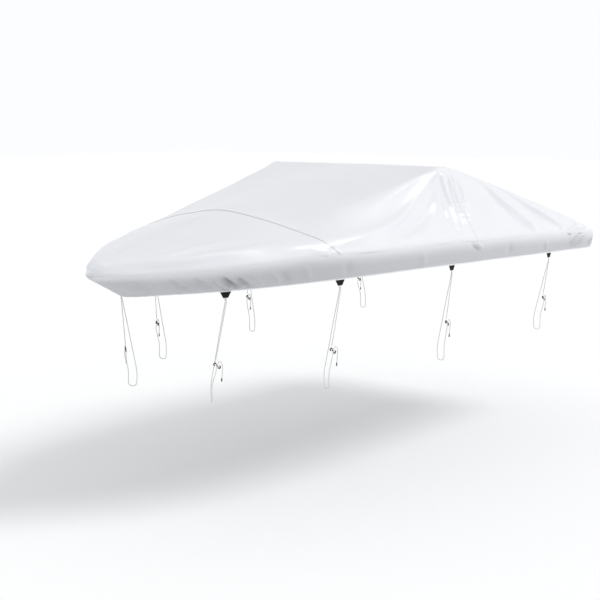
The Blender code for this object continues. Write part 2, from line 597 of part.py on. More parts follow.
def build_end(name, foot, direction, collection):
    """The moulded end on a rope's tail."""
    bm = bmesh.new()
    bmesh.ops.create_cone(bm, cap_ends=True, segments=10, radius1=END_D * 0.36, radius2=END_D / 2,
                          depth=END_LENGTH)
    turn = Vector((0, 0, 1)).rotation_difference(direction)
    centre = Vector(foot) + direction * (END_LENGTH / 2 + TOUCH)
    for vert in bm.verts:
        vert.co = turn @ vert.co + centre
    place_mesh(name, bm, "black_plastic", collection, smooth_faces=True)


def tie_places(tie, side):
    """The named places of one tie, which its pieces share."""
    hem, aft, outward = hem_place(tie, side)
    up = np.array([0.0, 0.0, 1.0])
    knot = hem - up * (TAB_SEAT + TAB_DROP + TOUCH + KNOT_R * KNOT_SHAPE[2]) - outward * CLOTH / 2
    loop = np.array([hem[0] - 0.012, side * tie.loop_y, tie.loop_z])
    share = (knot[2] - tie.cleat_z) / (knot[2] - tie.loop_z)
    cleat = knot + (loop + outward * BEAM_W / 2 - knot) * share
    cleat[2] = tie.cleat_z
    return knot, loop, cleat, aft, outward


def long_route(tie, side):
    """Route of the long rope: down behind the beam, under it, up to the cleat, and its tail."""
    knot, loop, cleat, aft, outward = tie_places(tie, side)
    up = np.array([0.0, 0.0, 1.0])
    reach = BEAM_W / 2 + ROPE_D / 2 + 0.001
    start = knot - up * (KNOT_R + TOUCH) - aft * STRAND_PITCH
    behind = loop - outward * reach + up * (BEAM_H + 0.02)
    front = CLEAT_T / 2 + ROPE_D / 2 + TOUCH

    def by_loop(out, high):
        return loop + outward * out + up * high

    def by_cleat(along, out, high):
        return cleat + aft * along + outward * out + up * high

    return [start, start - up * 0.012 - outward * 0.001, start + (behind - start) * 0.35,
            start + (behind - start) * 0.70, behind,
            by_loop(-reach, 0.030), by_loop(-0.72 * reach, 0.007), by_loop(0.0, 0.0),
            by_loop(0.72 * reach, 0.007), by_loop(reach, 0.030), by_loop(reach + 0.001, BEAM_H + 0.02),
            by_cleat(-0.010, front, -0.048), by_cleat(-0.004, front, -0.012), by_cleat(0.004, front, 0.014),
            by_cleat(0.018, front, 0.026), by_cleat(0.032, front, 0.014), by_cleat(0.036, front, -0.014),
            by_cleat(0.035, front - 0.002, 0.010 - TAIL_DROP * 0.6), by_cleat(0.031, front - 0.003, -TAIL_DROP)]


def short_route(tie, side):
    """Route of the short rope from the knot to the top of the cleat."""
    knot, _, cleat, aft, _ = tie_places(tie, side)
    up = np.array([0.0, 0.0, 1.0])
    start = knot - up * (KNOT_R + TOUCH) + aft * STRAND_PITCH
    top = cleat + up * (0.62 * CLEAT_LENGTH * math.sin(CLEAT_TURN) + 0.012) - aft * 0.010
    return [start, start - up * 0.012, start + (top - start) * 0.35 + aft * 0.002,
            start + (top - start) * 0.70 + aft * 0.002, top]


def build_ties(collection):
    """Tab, knot, two ropes, cleat and cord end of each of the eight ties."""
    for side_name, side in SIDES.items():
        for tie in TIES:
            label = tie.name + "_" + side_name
            hem, aft, outward = hem_place(tie, side)
            knot, _, cleat, _, _ = tie_places(tie, side)
            build_tab("tab_" + label, hem, aft, outward, collection)
            build_knot("knot_" + label, knot, collection)
            build_cleat("cleat_" + label, cleat, aft, outward, collection)
            route = smooth_route(long_route(tie, side), ROPE_STEP)
            rope("long_rope_" + label, route, collection)
            rope("short_rope_" + label, smooth_route(short_route(tie, side), ROPE_STEP), collection)
            build_end("rope_end_" + label, route[-1], (route[-1] - route[-2]).normalized(), collection)


def main():
    """Build the cover in its own collection."""
    clear_scene()
    collection = bpy.data.collections.new("boat_cover")
    bpy.context.scene.collection.children.link(collection)
    build_cloth(collection)
    build_ties(collection)


main()
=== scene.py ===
"""A fitted cloth cover for a small motorboat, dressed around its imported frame.

Three panels of silver-white coated polyester lie over the boat, a skirt hangs below them, and eight
webbing tabs under its hem carry tie ropes with plastic cleats. Every piece is in metres, in the
frame's own axes: +X aft, -Y port, +Z up, with the origin under the middle of the top edge.
"""
import logging
import math
from dataclasses import dataclass, field
from enum import Enum
from typing import Any, NamedTuple, Sequence

import bmesh
import bpy
import numpy as np
from mathutils import Matrix, Vector


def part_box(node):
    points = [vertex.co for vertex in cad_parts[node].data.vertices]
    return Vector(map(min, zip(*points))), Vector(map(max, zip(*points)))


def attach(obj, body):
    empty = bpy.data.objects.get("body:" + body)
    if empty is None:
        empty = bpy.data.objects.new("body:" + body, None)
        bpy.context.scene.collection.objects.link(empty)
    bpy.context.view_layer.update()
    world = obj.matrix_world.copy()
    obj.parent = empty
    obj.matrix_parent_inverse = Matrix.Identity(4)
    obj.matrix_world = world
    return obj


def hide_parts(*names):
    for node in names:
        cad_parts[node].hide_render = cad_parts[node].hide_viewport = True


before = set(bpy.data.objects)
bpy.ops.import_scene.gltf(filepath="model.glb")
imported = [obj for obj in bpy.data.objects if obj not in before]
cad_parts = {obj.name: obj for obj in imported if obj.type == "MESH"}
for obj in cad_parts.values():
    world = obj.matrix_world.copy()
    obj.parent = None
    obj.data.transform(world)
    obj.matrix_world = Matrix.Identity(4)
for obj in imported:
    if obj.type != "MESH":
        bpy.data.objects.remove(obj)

log = logging.getLogger("boat_cover")

BODY = "root"
CLOTH = 0.0022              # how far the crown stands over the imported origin
SKIN = 0.0014               # thickness of the coated cloth
UP = np.array([0.0, 0.0, 1.0])


class Side(Enum):
    """The two sides of the boat. The value is the sign of Y there."""

    PORT = -1
    STARBOARD = 1

    @property
    def label(self) -> str:
        """The side's name, as the frame's nodes write it."""
        return self.name.lower()


class Strip(Enum):
    """The three kinds of cloth, which face different ways."""

    TOP = "top"
    SIDE = "side"
    TRANSOM = "transom"


# ------------------------------------------------------------------ the form of the cover

class Station(NamedTuple):
    """One cross section of the cover. Half breadths serve both sides."""

    rim_x: float            # gunwale line
    half_beam: float
    keel_x: float           # middle of the boat
    crown_z: float
    ridge_y: float          # where the top turns into the side
    ridge_z: float
    side_y: float           # half way down the side
    side_z: float
    shoulder: float         # height over the gunwale line at which the cloth rounds it
    lip: float              # and of the plumb strip under that
    rim_z: float
    hem_x: float
    hem_half: float
    hem_z: float


LIP = 0.008
STATIONS = [Station(*row) for row in (
    # gunwale        keel            ridge         side          edge          hem
    (-2.800, 0.000, -2.822, -0.572, 0.000, -0.574, 0.000, -0.584, 0.030, LIP, -0.622, -2.520, 0.000, -0.782),
    (-2.798, 0.016, -2.818, -0.566, 0.010, -0.568, 0.014, -0.578, 0.030, LIP, -0.621, -2.518, 0.011, -0.782),
    (-2.780, 0.056, -2.790, -0.544, 0.032, -0.550, 0.048, -0.564, 0.030, LIP, -0.618, -2.505, 0.036, -0.781),
    (-2.718, 0.132, -2.695, -0.511, 0.080, -0.522, 0.114, -0.548, 0.032, LIP, -0.613, -2.470, 0.090, -0.779),
    (-2.590, 0.255, -2.560, -0.480, 0.160, -0.500, 0.225, -0.532, 0.034, LIP, -0.604, -2.400, 0.185, -0.772),
    (-2.300, 0.490, -2.290, -0.424, 0.320, -0.460, 0.448, -0.508, 0.036, LIP, -0.586, -2.210, 0.405, -0.756),
    (-1.950, 0.722, -1.940, -0.348, 0.490, -0.418, 0.665, -0.488, 0.036, LIP, -0.558, -1.910, 0.648, -0.734),
    (-1.570, 0.905, -1.570, -0.269, 0.640, -0.380, 0.850, -0.450, 0.036, LIP, -0.524, -1.555, 0.850, -0.712),
    (-1.150, 1.010, -1.150, -0.196, 0.675, -0.268, 0.920, -0.412, 0.036, LIP, -0.526, -1.145, 0.970, -0.702),
    (-0.700, 1.050, -0.700, -0.116, 0.722, -0.163, 0.928, -0.395, 0.036, LIP, -0.530, -0.700, 1.015, -0.704),
    (-0.300, 1.062, -0.300, -0.047, 0.768, -0.066, 0.920, -0.345, 0.036, LIP, -0.534, -0.300, 1.030, -0.711),
    (-0.070, 1.064, -0.070, -0.008, 0.790, -0.012, 0.908, -0.302, 0.036, LIP, -0.540, -0.070, 1.033, -0.717),
    (-0.010, 1.064, -0.010, CLOTH, 0.796, CLOTH, 0.905, -0.290, 0.036, LIP, -0.542, -0.010, 1.034, -0.719),
    (0.110, 1.063, 0.110, 0.002, 0.796, -0.008, 0.912, -0.280, 0.036, LIP, -0.550, 0.110, 1.033, -0.722),
    (0.330, 1.060, 0.330, -0.030, 0.800, -0.054, 0.930, -0.300, 0.036, LIP, -0.556, 0.330, 1.030, -0.727),
    (0.700, 1.056, 0.700, -0.115, 0.825, -0.155, 0.955, -0.365, 0.036, LIP, -0.570, 0.700, 1.028, -0.738),
    (1.150, 1.046, 1.150, -0.230, 0.850, -0.280, 0.968, -0.440, 0.036, LIP, -0.590, 1.148, 1.018, -0.752),
    (1.600, 1.034, 1.600, -0.355, 0.880, -0.405, 0.975, -0.510, 0.034, LIP, -0.610, 1.590, 1.004, -0.765),
    (2.020, 1.018, 2.020, -0.484, 0.905, -0.528, 0.972, -0.574, 0.030, LIP, -0.630, 2.010, 0.990, -0.778),
    (2.225, 0.998, 2.245, -0.568, 0.890, -0.592, 0.945, -0.606, 0.026, LIP, -0.643, 2.205, 0.975, -0.785),
    (2.285, 0.962, 2.315, -0.616, 0.860, -0.622, 0.905, -0.626, 0.018, LIP, -0.648, 2.255, 0.938, -0.787),
    (2.304, 0.930, 2.330, -0.640, 0.850, -0.640, 0.885, -0.640, LIP, LIP, -0.649, 2.272, 0.905, -0.787),
    (2.304, 0.930, 2.330, -0.649, 0.850, -0.649, 0.885, -0.649, 0.000, 0.0, -0.649, 2.272, 0.905, -0.787),
)]

QUARTER, RIDGE, SIDE, SHOULDER, PLUMB = 0.22, 0.50, 0.72, 0.90, 0.975   # shares across a section
GABLE = 0.35                # share of the fall from crown to ridge that is done at the quarter
HANG = 0.14                 # share of the skirt over which it turns from plumb to its own slope
TOP_LEAN = 0.020            # how far the top edge lies to starboard of the keel line
SHOULDER_IN = 0.020         # how far the shoulder stands in from the gunwale
FULL_SHOULDER = 0.30        # half breadth from which it does so in full
RIM_SPACING, RIM_ACROSS = 0.014, 130    # points of the gunwale line: metres apart, and over the stern
RIM_REACH = 3               # reaches of the rounding beyond which it is left out
LOT = 2000                  # points that are rounded together
SLOPE_STEP = 0.002          # how far apart points are read for a normal
CORNER_BLEND = 0.035        # reach over which the rounding's direction turns with the plan
CORNER_FADE = 0.10          # and over which it fades inboard
NOSE_X, NOSE_BLEND = -2.78, 0.28    # where it starts, as the nose is round already


def smooth(knots: Sequence[float], values: np.ndarray, at: np.ndarray) -> np.ndarray:
    """Read a smooth line through values, without overshoot.

    Args:
        knots: Places of the values, rising.
        values: One value for each knot, for every place or for all of them.
        at: Places to read.

    Returns:
        The line's height at each place.
    """
    knots, at = np.asarray(knots, float), np.asarray(at, float)
    values = np.broadcast_to(np.asarray(values, float), at.shape + (len(knots),))
    step = np.diff(knots)
    slope = np.diff(values, axis=-1) / step
    before, after = slope[..., :-1], slope[..., 1:]
    flat = before * after <= 0.0
    weight_a, weight_b = 2 * step[1:] + step[:-1], step[1:] + 2 * step[:-1]
    mean = (weight_a + weight_b) / (weight_a / np.where(flat, 1.0, before)
                                    + weight_b / np.where(flat, 1.0, after))
    tangent = np.concatenate([slope[..., :1], np.where(flat, 0.0, mean), slope[..., -1:]], axis=-1)
    left = np.clip(np.searchsorted(knots, at) - 1, 0, len(knots) - 2)

    def pick(array: np.ndarray, index: np.ndarray) -> np.ndarray:
        """The entry of each row of an array at that row's index."""
        return np.take_along_axis(array, index[..., None], axis=-1)[..., 0]

    width = step[left]
    t = (at - knots[left]) / width
    return ((1 + 2 * t) * (1 - t) ** 2 * pick(values, left)
            + t * (1 - t) ** 2 * width * pick(tangent, left)
            + t * t * (3 - 2 * t) * pick(values, left + 1)
            - t * t * (1 - t) * width * pick(tangent, left + 1))


def ramp(value: np.ndarray) -> np.ndarray:
    """0 to 1 with a soft start and end."""
    value = np.clip(value, 0.0, 1.0)
    return value * value * (3 - 2 * value)


@dataclass
class Form:
    """The smooth outer surface of the cover, before its folds."""

    stations: list[Station] = field(default_factory=lambda: STATIONS)
    cut: float = 0.014              # how far the corner along the gunwale is rounded off
    cut_reach: float = 0.036
    cut_high: float = 0.006         # height over the gunwale line at which it is rounded most
    cut_turn: float = math.radians(35)
    distance: np.ndarray = field(init=False)
    table: dict[str, np.ndarray] = field(init=False)
    keel_line: tuple[np.ndarray, np.ndarray] = field(init=False)
    rim: tuple[np.ndarray, np.ndarray] = field(init=False)

    def __post_init__(self) -> None:
        """Measure along the gunwale line and turn the stations into columns."""
        rows = np.array([(s.rim_x, s.half_beam, s.crown_z) for s in self.stations])
        steps = np.linalg.norm(np.diff(rows, axis=0), axis=1)
        self.distance = np.concatenate([[0.0], np.cumsum(steps)])
        self.table = {name: np.array([getattr(s, name) for s in self.stations])
                      for name in Station._fields}
        fine = np.linspace(0.0, self.stern, 4001)
        self.keel_line = (self.column("keel_x", fine), fine)
        side = np.arange(0.0, self.stern, RIM_SPACING)
        across = np.linspace(1.0, -1.0, RIM_ACROSS)[1:-1]
        loop = np.concatenate([self.top(side, np.ones_like(side)),
                               self.top(np.full_like(across, self.stern), across),
                               self.top(side[:0:-1], -np.ones_like(side[1:]))])
        outward = np.cross(UP, np.roll(loop, -2, axis=0) - np.roll(loop, 2, axis=0))
        self.rim = (loop, outward / np.linalg.norm(outward, axis=1, keepdims=True))

    @property
    def stern(self) -> float:
        """Distance along the gunwale line of the last section."""
        return self.distance[-1]

    def column(self, name: str, along: np.ndarray) -> np.ndarray:
        """A station column at each distance along the gunwale line."""
        return smooth(self.distance, self.table[name], along)

    def along_at(self, keel_x: np.ndarray) -> np.ndarray:
        """Distance of the section that crosses the keel line at keel_x."""
        return np.interp(keel_x, *self.keel_line)

    @staticmethod
    def bend(share: np.ndarray) -> np.ndarray:
        """How far a line across has run from its keel point to its gunwale point."""
        return np.clip(share / PLUMB, 0.0, 1.0) ** 2

    def top(self, along: np.ndarray, across: np.ndarray) -> np.ndarray:
        """Points of the panels.

        Args:
            along: Distances along the gunwale line.
            across: Shares across, from -1 at the port gunwale to 1.

        Returns:
            The points.
        """
        share, side = np.abs(across), np.sign(across)
        part = {name: self.column(name, along) for name in Station._fields}
        rounding = SHOULDER_IN * np.clip(part["half_beam"] / FULL_SHOULDER, 0.0, 1.0)
        breadth = [0 * share, 0.5 * part["ridge_y"], part["ridge_y"], part["side_y"],
                   part["half_beam"] - rounding, part["half_beam"], part["half_beam"]]
        quarter = part["crown_z"] + GABLE * (part["ridge_z"] - part["crown_z"])
        height = [part["crown_z"], quarter, part["ridge_z"], part["side_z"],
                  part["rim_z"] + part["shoulder"], part["rim_z"] + part["lip"], part["rim_z"]]
        knots = [-QUARTER, 0.0, QUARTER, RIDGE, SIDE, SHOULDER, PLUMB, 1.0]
        y = smooth(knots, np.stack([-breadth[1]] + breadth, axis=-1), share)
        z = smooth(knots, np.stack([height[1]] + height, axis=-1), share)
        x = part["keel_x"] + (part["rim_x"] - part["keel_x"]) * self.bend(share)
        lean = TOP_LEAN * np.clip((z - part["rim_z"]) / abs(min(self.table["rim_z"])), 0.0, 1.0)
        return np.stack([x, side * y + lean, z], axis=-1)

    def hem(self, along: np.ndarray, across: np.ndarray) -> np.ndarray:
        """Points of the hem, under the gunwale line or under the transom's edge.

        Args:
            along: Distances along the gunwale line.
            across: Shares across, from -1 to port to 1.

        Returns:
            The points.
        """
        bow = self.column("keel_x", along) - self.column("rim_x", along)
        x = self.column("hem_x", along) + bow * (1 - self.bend(np.abs(across)))
        y = np.clip(across / PLUMB, -1.0, 1.0) * self.column("hem_half", along)
        return np.stack([x, y, self.column("hem_z", along)], axis=-1)

    def point(self, along: Any, across: Any, down: Any) -> np.ndarray:
        """Points of the cover.

        Args:
            along: Distances along the gunwale line.
            across: Shares across, from -1 to port to 1.
            down: 0 on a panel, and on the skirt below it the share down to 1 at the hem.

        Returns:
            The points.
        """
        along, across, down = np.broadcast_arrays(*(np.asarray(a, float) for a in (along, across, down)))
        top, hem = self.top(along, across), self.hem(along, across)
        inward = np.where(down < HANG, down ** 2 / (2 * HANG), down - HANG / 2) / (1 - HANG / 2)
        return self.rounded(top + (hem - top) * np.stack([inward, inward, down], axis=-1))

    def rounded(self, points: np.ndarray) -> np.ndarray:
        """Round off the corner along the gunwale line.

        Args:
            points: A table of points.

        Returns:
            The points moved, in a new table.
        """
        flat = points.reshape(-1, 3).copy()
        loop, outward = self.rim
        reach = RIM_REACH * self.cut_reach
        low, high = loop[:, 2].min() - reach, loop[:, 2].max() + reach
        near = np.flatnonzero((flat[:, 2] > low) & (flat[:, 2] < high))
        for part in np.array_split(near, len(near) // LOT + 1):
            apart = ((flat[part, None, :2] - loop[None, :, :2]) ** 2).sum(-1)
            least = apart.min(axis=1, keepdims=True)
            weight = np.exp((least - apart) / CORNER_BLEND ** 2)
            weight /= weight.sum(axis=1, keepdims=True)
            height = flat[part, 2] - weight @ loop[:, 2] - self.cut_high
            share = np.exp(-(height / self.cut_reach) ** 2 - least[:, 0] / CORNER_FADE ** 2)
            share *= ramp((flat[part, 0] - NOSE_X) / NOSE_BLEND)
            inward = -(weight @ outward) * math.cos(self.cut_turn) - UP * math.sin(self.cut_turn)
            flat[part] += self.cut * share[:, None] * inward
        return flat.reshape(points.shape)

    def normal(self, along: Any, across: Any, down: Any, strip: Strip) -> np.ndarray:
        """Outward normals of the cover.

        Args:
            along: Distances along the gunwale line.
            across: Shares across, from -1 to port to 1.
            down: Shares down the skirt.
            strip: The kind of cloth that the points are on.

        Returns:
            Unit normals.
        """
        place = [np.asarray(a, float) for a in np.broadcast_arrays(along, across, down)]
        bounds = ((0.0, self.stern), (-1.0, 1.0), (0.0, 1.0))

        def slope(axis: int) -> np.ndarray:
            """Difference of two points either side of each place.

            Args:
                axis: The coordinate that is changed: 0 along, 1 across or 2 down.

            Returns:
                The differences.
            """
            low, high = list(place), list(place)
            low[axis] = np.clip(low[axis] - SLOPE_STEP, *bounds[axis])
            high[axis] = np.clip(high[axis] + SLOPE_STEP, *bounds[axis])
            return self.point(*high) - self.point(*low)

        if strip is Strip.TOP:
            normal = np.cross(slope(0), slope(1))
        elif strip is Strip.SIDE:
            normal = np.cross(slope(0), slope(2)) * -np.sign(place[1])[..., None]
        else:
            normal = -np.cross(slope(2), slope(1))
        return normal / np.maximum(np.linalg.norm(normal, axis=-1, keepdims=True), 1e-12)


FORM = Form()


# ------------------------------------------------------------------ folds

FOLD_REACH = 3.2            # widths from a fold's path at which it has faded out
PATH_PARTS = 4              # pieces of its line between two points of the path


@dataclass(frozen=True)
class Fold:
    """A soft ridge, or a trough where its height is negative, along a path over the cloth.

    The path's points are (x on the keel line, share across with port negative, share down the
    skirt). lean makes the flank to the right of the path, seen from outside, steeper.
    """

    name: str
    path: tuple[tuple[float, float, float], ...]
    height: float
    width: float            # at the start of the path
    spread: float           # at its end
    head: float = 0.25      # share of the path over which the fold rises
    tail: float = 0.35      # and over which it fades
    lean: float = 0.0

    def line(self) -> tuple[np.ndarray, np.ndarray]:
        """The path as a fine line on the smooth cover.

        Returns:
            The line's points, and the normals there.
        """
        rows = np.array(self.path, float)
        knots = np.arange(len(rows))
        at = np.linspace(0, len(rows) - 1, PATH_PARTS * (len(rows) - 1) + 1)
        along, across, down = (smooth(knots, rows[:, i], at) for i in range(3))
        along = FORM.along_at(along)
        strip = Strip.SIDE if down.max() > 0.0 else Strip.TOP
        return FORM.point(along, across, down), FORM.normal(along, across, down, strip)

    def lift(self, points: np.ndarray, line: np.ndarray, normals: np.ndarray) -> np.ndarray:
        """How far the fold lifts the cloth.

        Args:
            points: Rows of points on the smooth cover.
            line: The fold's path as a fine line.
            normals: The cover's normals along it.

        Returns:
            The lift of each point, along its normal.
        """
        reach = FOLD_REACH * max(self.width, self.spread)
        near = np.all((points > line.min(0) - reach) & (points < line.max(0) + reach), axis=1)
        lift = np.zeros(len(points))
        if not near.any():
            return lift
        start, run = line[:-1], np.diff(line, axis=0)
        offset = points[near][:, None, :] - start[None]
        t = np.clip((offset * run).sum(-1) / (run ** 2).sum(-1), 0.0, 1.0)
        apart = offset - t[..., None] * run[None]
        distance = np.linalg.norm(apart, axis=-1)
        nearest = distance.argmin(axis=1)
        pick = np.arange(len(nearest))
        place = (nearest + t[pick, nearest]) / len(run)
        flank = np.sign((np.cross(run[nearest], apart[pick, nearest]) * normals[nearest]).sum(-1))
        width = (self.width + (self.spread - self.width) * place) * (1 + self.lean * flank)
        strength = ramp(place / self.head) * ramp((1 - place) / self.tail)
        lift[near] = self.height * strength * np.exp(-(distance[pick, nearest] / width) ** 2)
        return lift


CORNER = (-0.030, -0.53)            # end of the top edge, from which the fan of folds runs


class Crease(NamedTuple):
    """A fold of the panels, listed as it lies to port."""

    name: str
    points: tuple[tuple[float, float], ...]     # (x on the keel line, share across)
    height: float
    width: float
    spread: float
    rise: float
    fade: float
    lean: float = 0.0


def over(*points: tuple[float, float], mirror: bool = False,
         aft: float = 0.0) -> tuple[tuple[float, ...], ...]:
    """A path over the panels from its (x, share across) points, or the same to starboard."""
    return tuple((x + aft, -share if mirror else share, 0.0) for x, share in points)


def down_side(*points: tuple[float, float], side: float = -1.0) -> tuple[tuple[float, ...], ...]:
    """A path down a skirt from its (x, share down) points."""
    return tuple((x, side, down) for x, down in points)


FAN = tuple(Crease(*row) for row in (
    ("upper ridge", (CORNER, (-0.19, -0.522), (-0.44, -0.545), (-0.64, -0.563), (-0.84, -0.58),
                     (-1.0, -0.6)), 0.0074, 0.0247, 0.0475, 0.2, 0.4, -0.3),
    ("upper trough", ((-0.1, -0.56), (-0.19, -0.583), (-0.45, -0.612), (-0.65, -0.635), (-0.92, -0.665)),
     -0.0081, 0.019, 0.0427, 0.25, 0.45),
    ("main ridge", (CORNER, (-0.143, -0.563), (-0.266, -0.595), (-0.444, -0.626), (-0.596, -0.66),
                    (-0.736, -0.688), (-0.931, -0.722), (-1.128, -0.758), (-1.324, -0.782),
                    (-1.443, -0.79)), 0.0263, 0.0256, 0.0532, 0.06, 0.25, -0.35),
    ("main trough", ((-0.13, -0.615), (-0.27, -0.68), (-0.5, -0.735), (-0.8, -0.79), (-1.1, -0.83)),
     -0.0203, 0.0285, 0.057, 0.25, 0.45),
    ("gunwale ridge", ((-0.03, -0.545), (-0.04, -0.603), (-0.025, -0.662), (-0.004, -0.715),
                       (-0.022, -0.777), (-0.02, -0.82), (0.021, -0.9)),
     0.0162, 0.0199, 0.0285, 0.12, 0.25),
    ("gunwale groove", ((-0.1, -0.66), (-0.125, -0.748), (-0.1, -0.812), (-0.038, -0.887)),
     -0.0121, 0.0228, 0.0266, 0.3, 0.3),
    ("trough before the seam", ((0.02, -0.58), (0.04, -0.66), (0.045, -0.76), (0.01, -0.87)),
     -0.0081, 0.0114, 0.0133, 0.2, 0.25),
    ("ridge before the seam", ((0.048, -0.565), (0.062, -0.613), (0.096, -0.68), (0.092, -0.777),
                               (0.05, -0.865)), 0.0068, 0.0104, 0.0123, 0.15, 0.2),
    ("ridge behind the seam", ((0.15, -0.575), (0.185, -0.657), (0.172, -0.758), (0.125, -0.848)),
     0.0095, 0.0133, 0.0171, 0.25, 0.25),
    ("short crease", ((0.165, -0.575), (0.205, -0.605), (0.239, -0.635)),
     0.0054, 0.0076, 0.0095, 0.35, 0.4),
    ("aft side ridge", ((0.4, -0.54), (0.549, -0.58), (0.669, -0.63), (0.85, -0.688), (1.016, -0.785),
                        (1.179, -0.955)), 0.0203, 0.019, 0.0323, 0.3, 0.2),
    ("aft side trough", ((0.4, -0.575), (0.6, -0.65), (0.747, -0.715), (0.854, -0.785), (0.989, -0.86),
                         (1.1, -0.98)), -0.0162, 0.0228, 0.038, 0.35, 0.3),
    ("aft edge ridge", ((0.35, -0.525), (0.667, -0.535), (0.867, -0.554), (0.995, -0.588), (1.135, -0.618),
                        (1.29, -0.643), (1.403, -0.686), (1.543, -0.79), (1.626, -0.96)),
     0.0203, 0.0152, 0.0228, 0.3, 0.12),
    ("aft edge trough", ((0.9, -0.6), (1.1, -0.655), (1.3, -0.7), (1.42, -0.76), (1.52, -0.87)),
     -0.0135, 0.0247, 0.0285, 0.4, 0.3),
    ("aft top trough", ((0.477, -0.505), (0.778, -0.51), (1.06, -0.53), (1.439, -0.55)),
     -0.0081, 0.0209, 0.0285, 0.4, 0.4),
    ("dog ear", ((1.64, -0.99), (1.79, -0.905), (1.905, -0.825), (2.01, -0.745)),
     0.0216, 0.0171, 0.0323, 0.2, 0.25),
    ("dog ear trough", ((1.7, -0.99), (1.86, -0.93), (1.99, -0.86), (2.09, -0.78)),
     -0.0135, 0.0152, 0.0247, 0.25, 0.35),
    ("dog ear lower ridge", ((1.8, -0.995), (1.96, -0.955), (2.08, -0.9), (2.16, -0.84)),
     0.0108, 0.0114, 0.0171, 0.25, 0.35),
))
FOREDECK = tuple(Crease(*row) for row in (
    ("shoulder crease", ((-2.62, -0.7), (-2.494, -0.63), (-2.382, -0.598), (-2.195, -0.53),
                         (-2.034, -0.515), (-1.86, -0.55)), 0.006, 0.019, 0.038, 0.3, 0.4),
    ("trough between", ((-2.45, -0.7), (-2.25, -0.61), (-2.03, -0.59), (-1.8, -0.61)),
     -0.004, 0.0247, 0.038, 0.35, 0.4),
    ("long shoulder ridge", ((-2.56, -0.9), (-2.484, -0.843), (-2.315, -0.755), (-2.192, -0.678),
                             (-2.028, -0.665), (-1.884, -0.64), (-1.716, -0.668), (-1.6, -0.695)),
     0.008, 0.019, 0.0475, 0.25, 0.25),
    ("shoulder hollow", ((-2.36, -0.9), (-2.15, -0.8), (-1.9, -0.78), (-1.7, -0.82)),
     -0.005, 0.0323, 0.0475, 0.35, 0.35),
    ("nose hollow", ((-2.736, 0.1), (-2.62, 0.02), (-2.5, -0.02)), -0.004, 0.0209, 0.0323, 0.35, 0.45),
    ("nose ridge", ((-2.745, -0.1), (-2.64, 0.06), (-2.536, 0.12), (-2.314, 0.03)),
     0.004, 0.0171, 0.0323, 0.25, 0.5),
    ("crease round the nose", ((-2.775, 0.3), (-2.768, -0.1), (-2.755, -0.5), (-2.718, -0.9)),
     0.0035, 0.0095, 0.0133, 0.25, 0.3),
    ("seam end lift", ((-1.66, -0.9), (-1.56, -0.925), (-1.5, -0.96)), 0.007, 0.0285, 0.0285, 0.4, 0.3),
))
STARBOARD_SHIFT = 0.05          # how far aft the folds to starboard lie
STARBOARD_WIDER = 1.1           # how much wider they are
STARBOARD_SHARE = 0.8           # and their share of the height
STARBOARD_DECK_SHARE = 0.4


def panel_folds() -> list[Fold]:
    """Lay out the folds of the three panels.

    Returns:
        The folds to port as listed, each with its lower and wider twin to starboard.
    """
    folds = []
    for creases, share in ((FAN, STARBOARD_SHARE), (FOREDECK, STARBOARD_DECK_SHARE)):
        for name, points, height, width, spread, rise, fade, lean in creases:
            folds.append(Fold(name, over(*points), height, width, spread, rise, fade, lean))
            folds.append(Fold(name, over(*points, mirror=True, aft=STARBOARD_SHIFT), height * share,
                              width * STARBOARD_WIDER, spread * STARBOARD_WIDER, rise, fade, -lean))
    folds.append(Fold("lift beside the front seam", over((-1.95, 0.17), (-1.80, 0.05), (-1.64, -0.10)),
                      0.004, 0.040, 0.050, 0.35, 0.35))
    return folds


class Wrinkle(NamedTuple):
    """A slanting wrinkle of both skirts."""

    points: tuple[tuple[float, float], ...]     # (x on the keel line, share down)
    height: float
    width: float


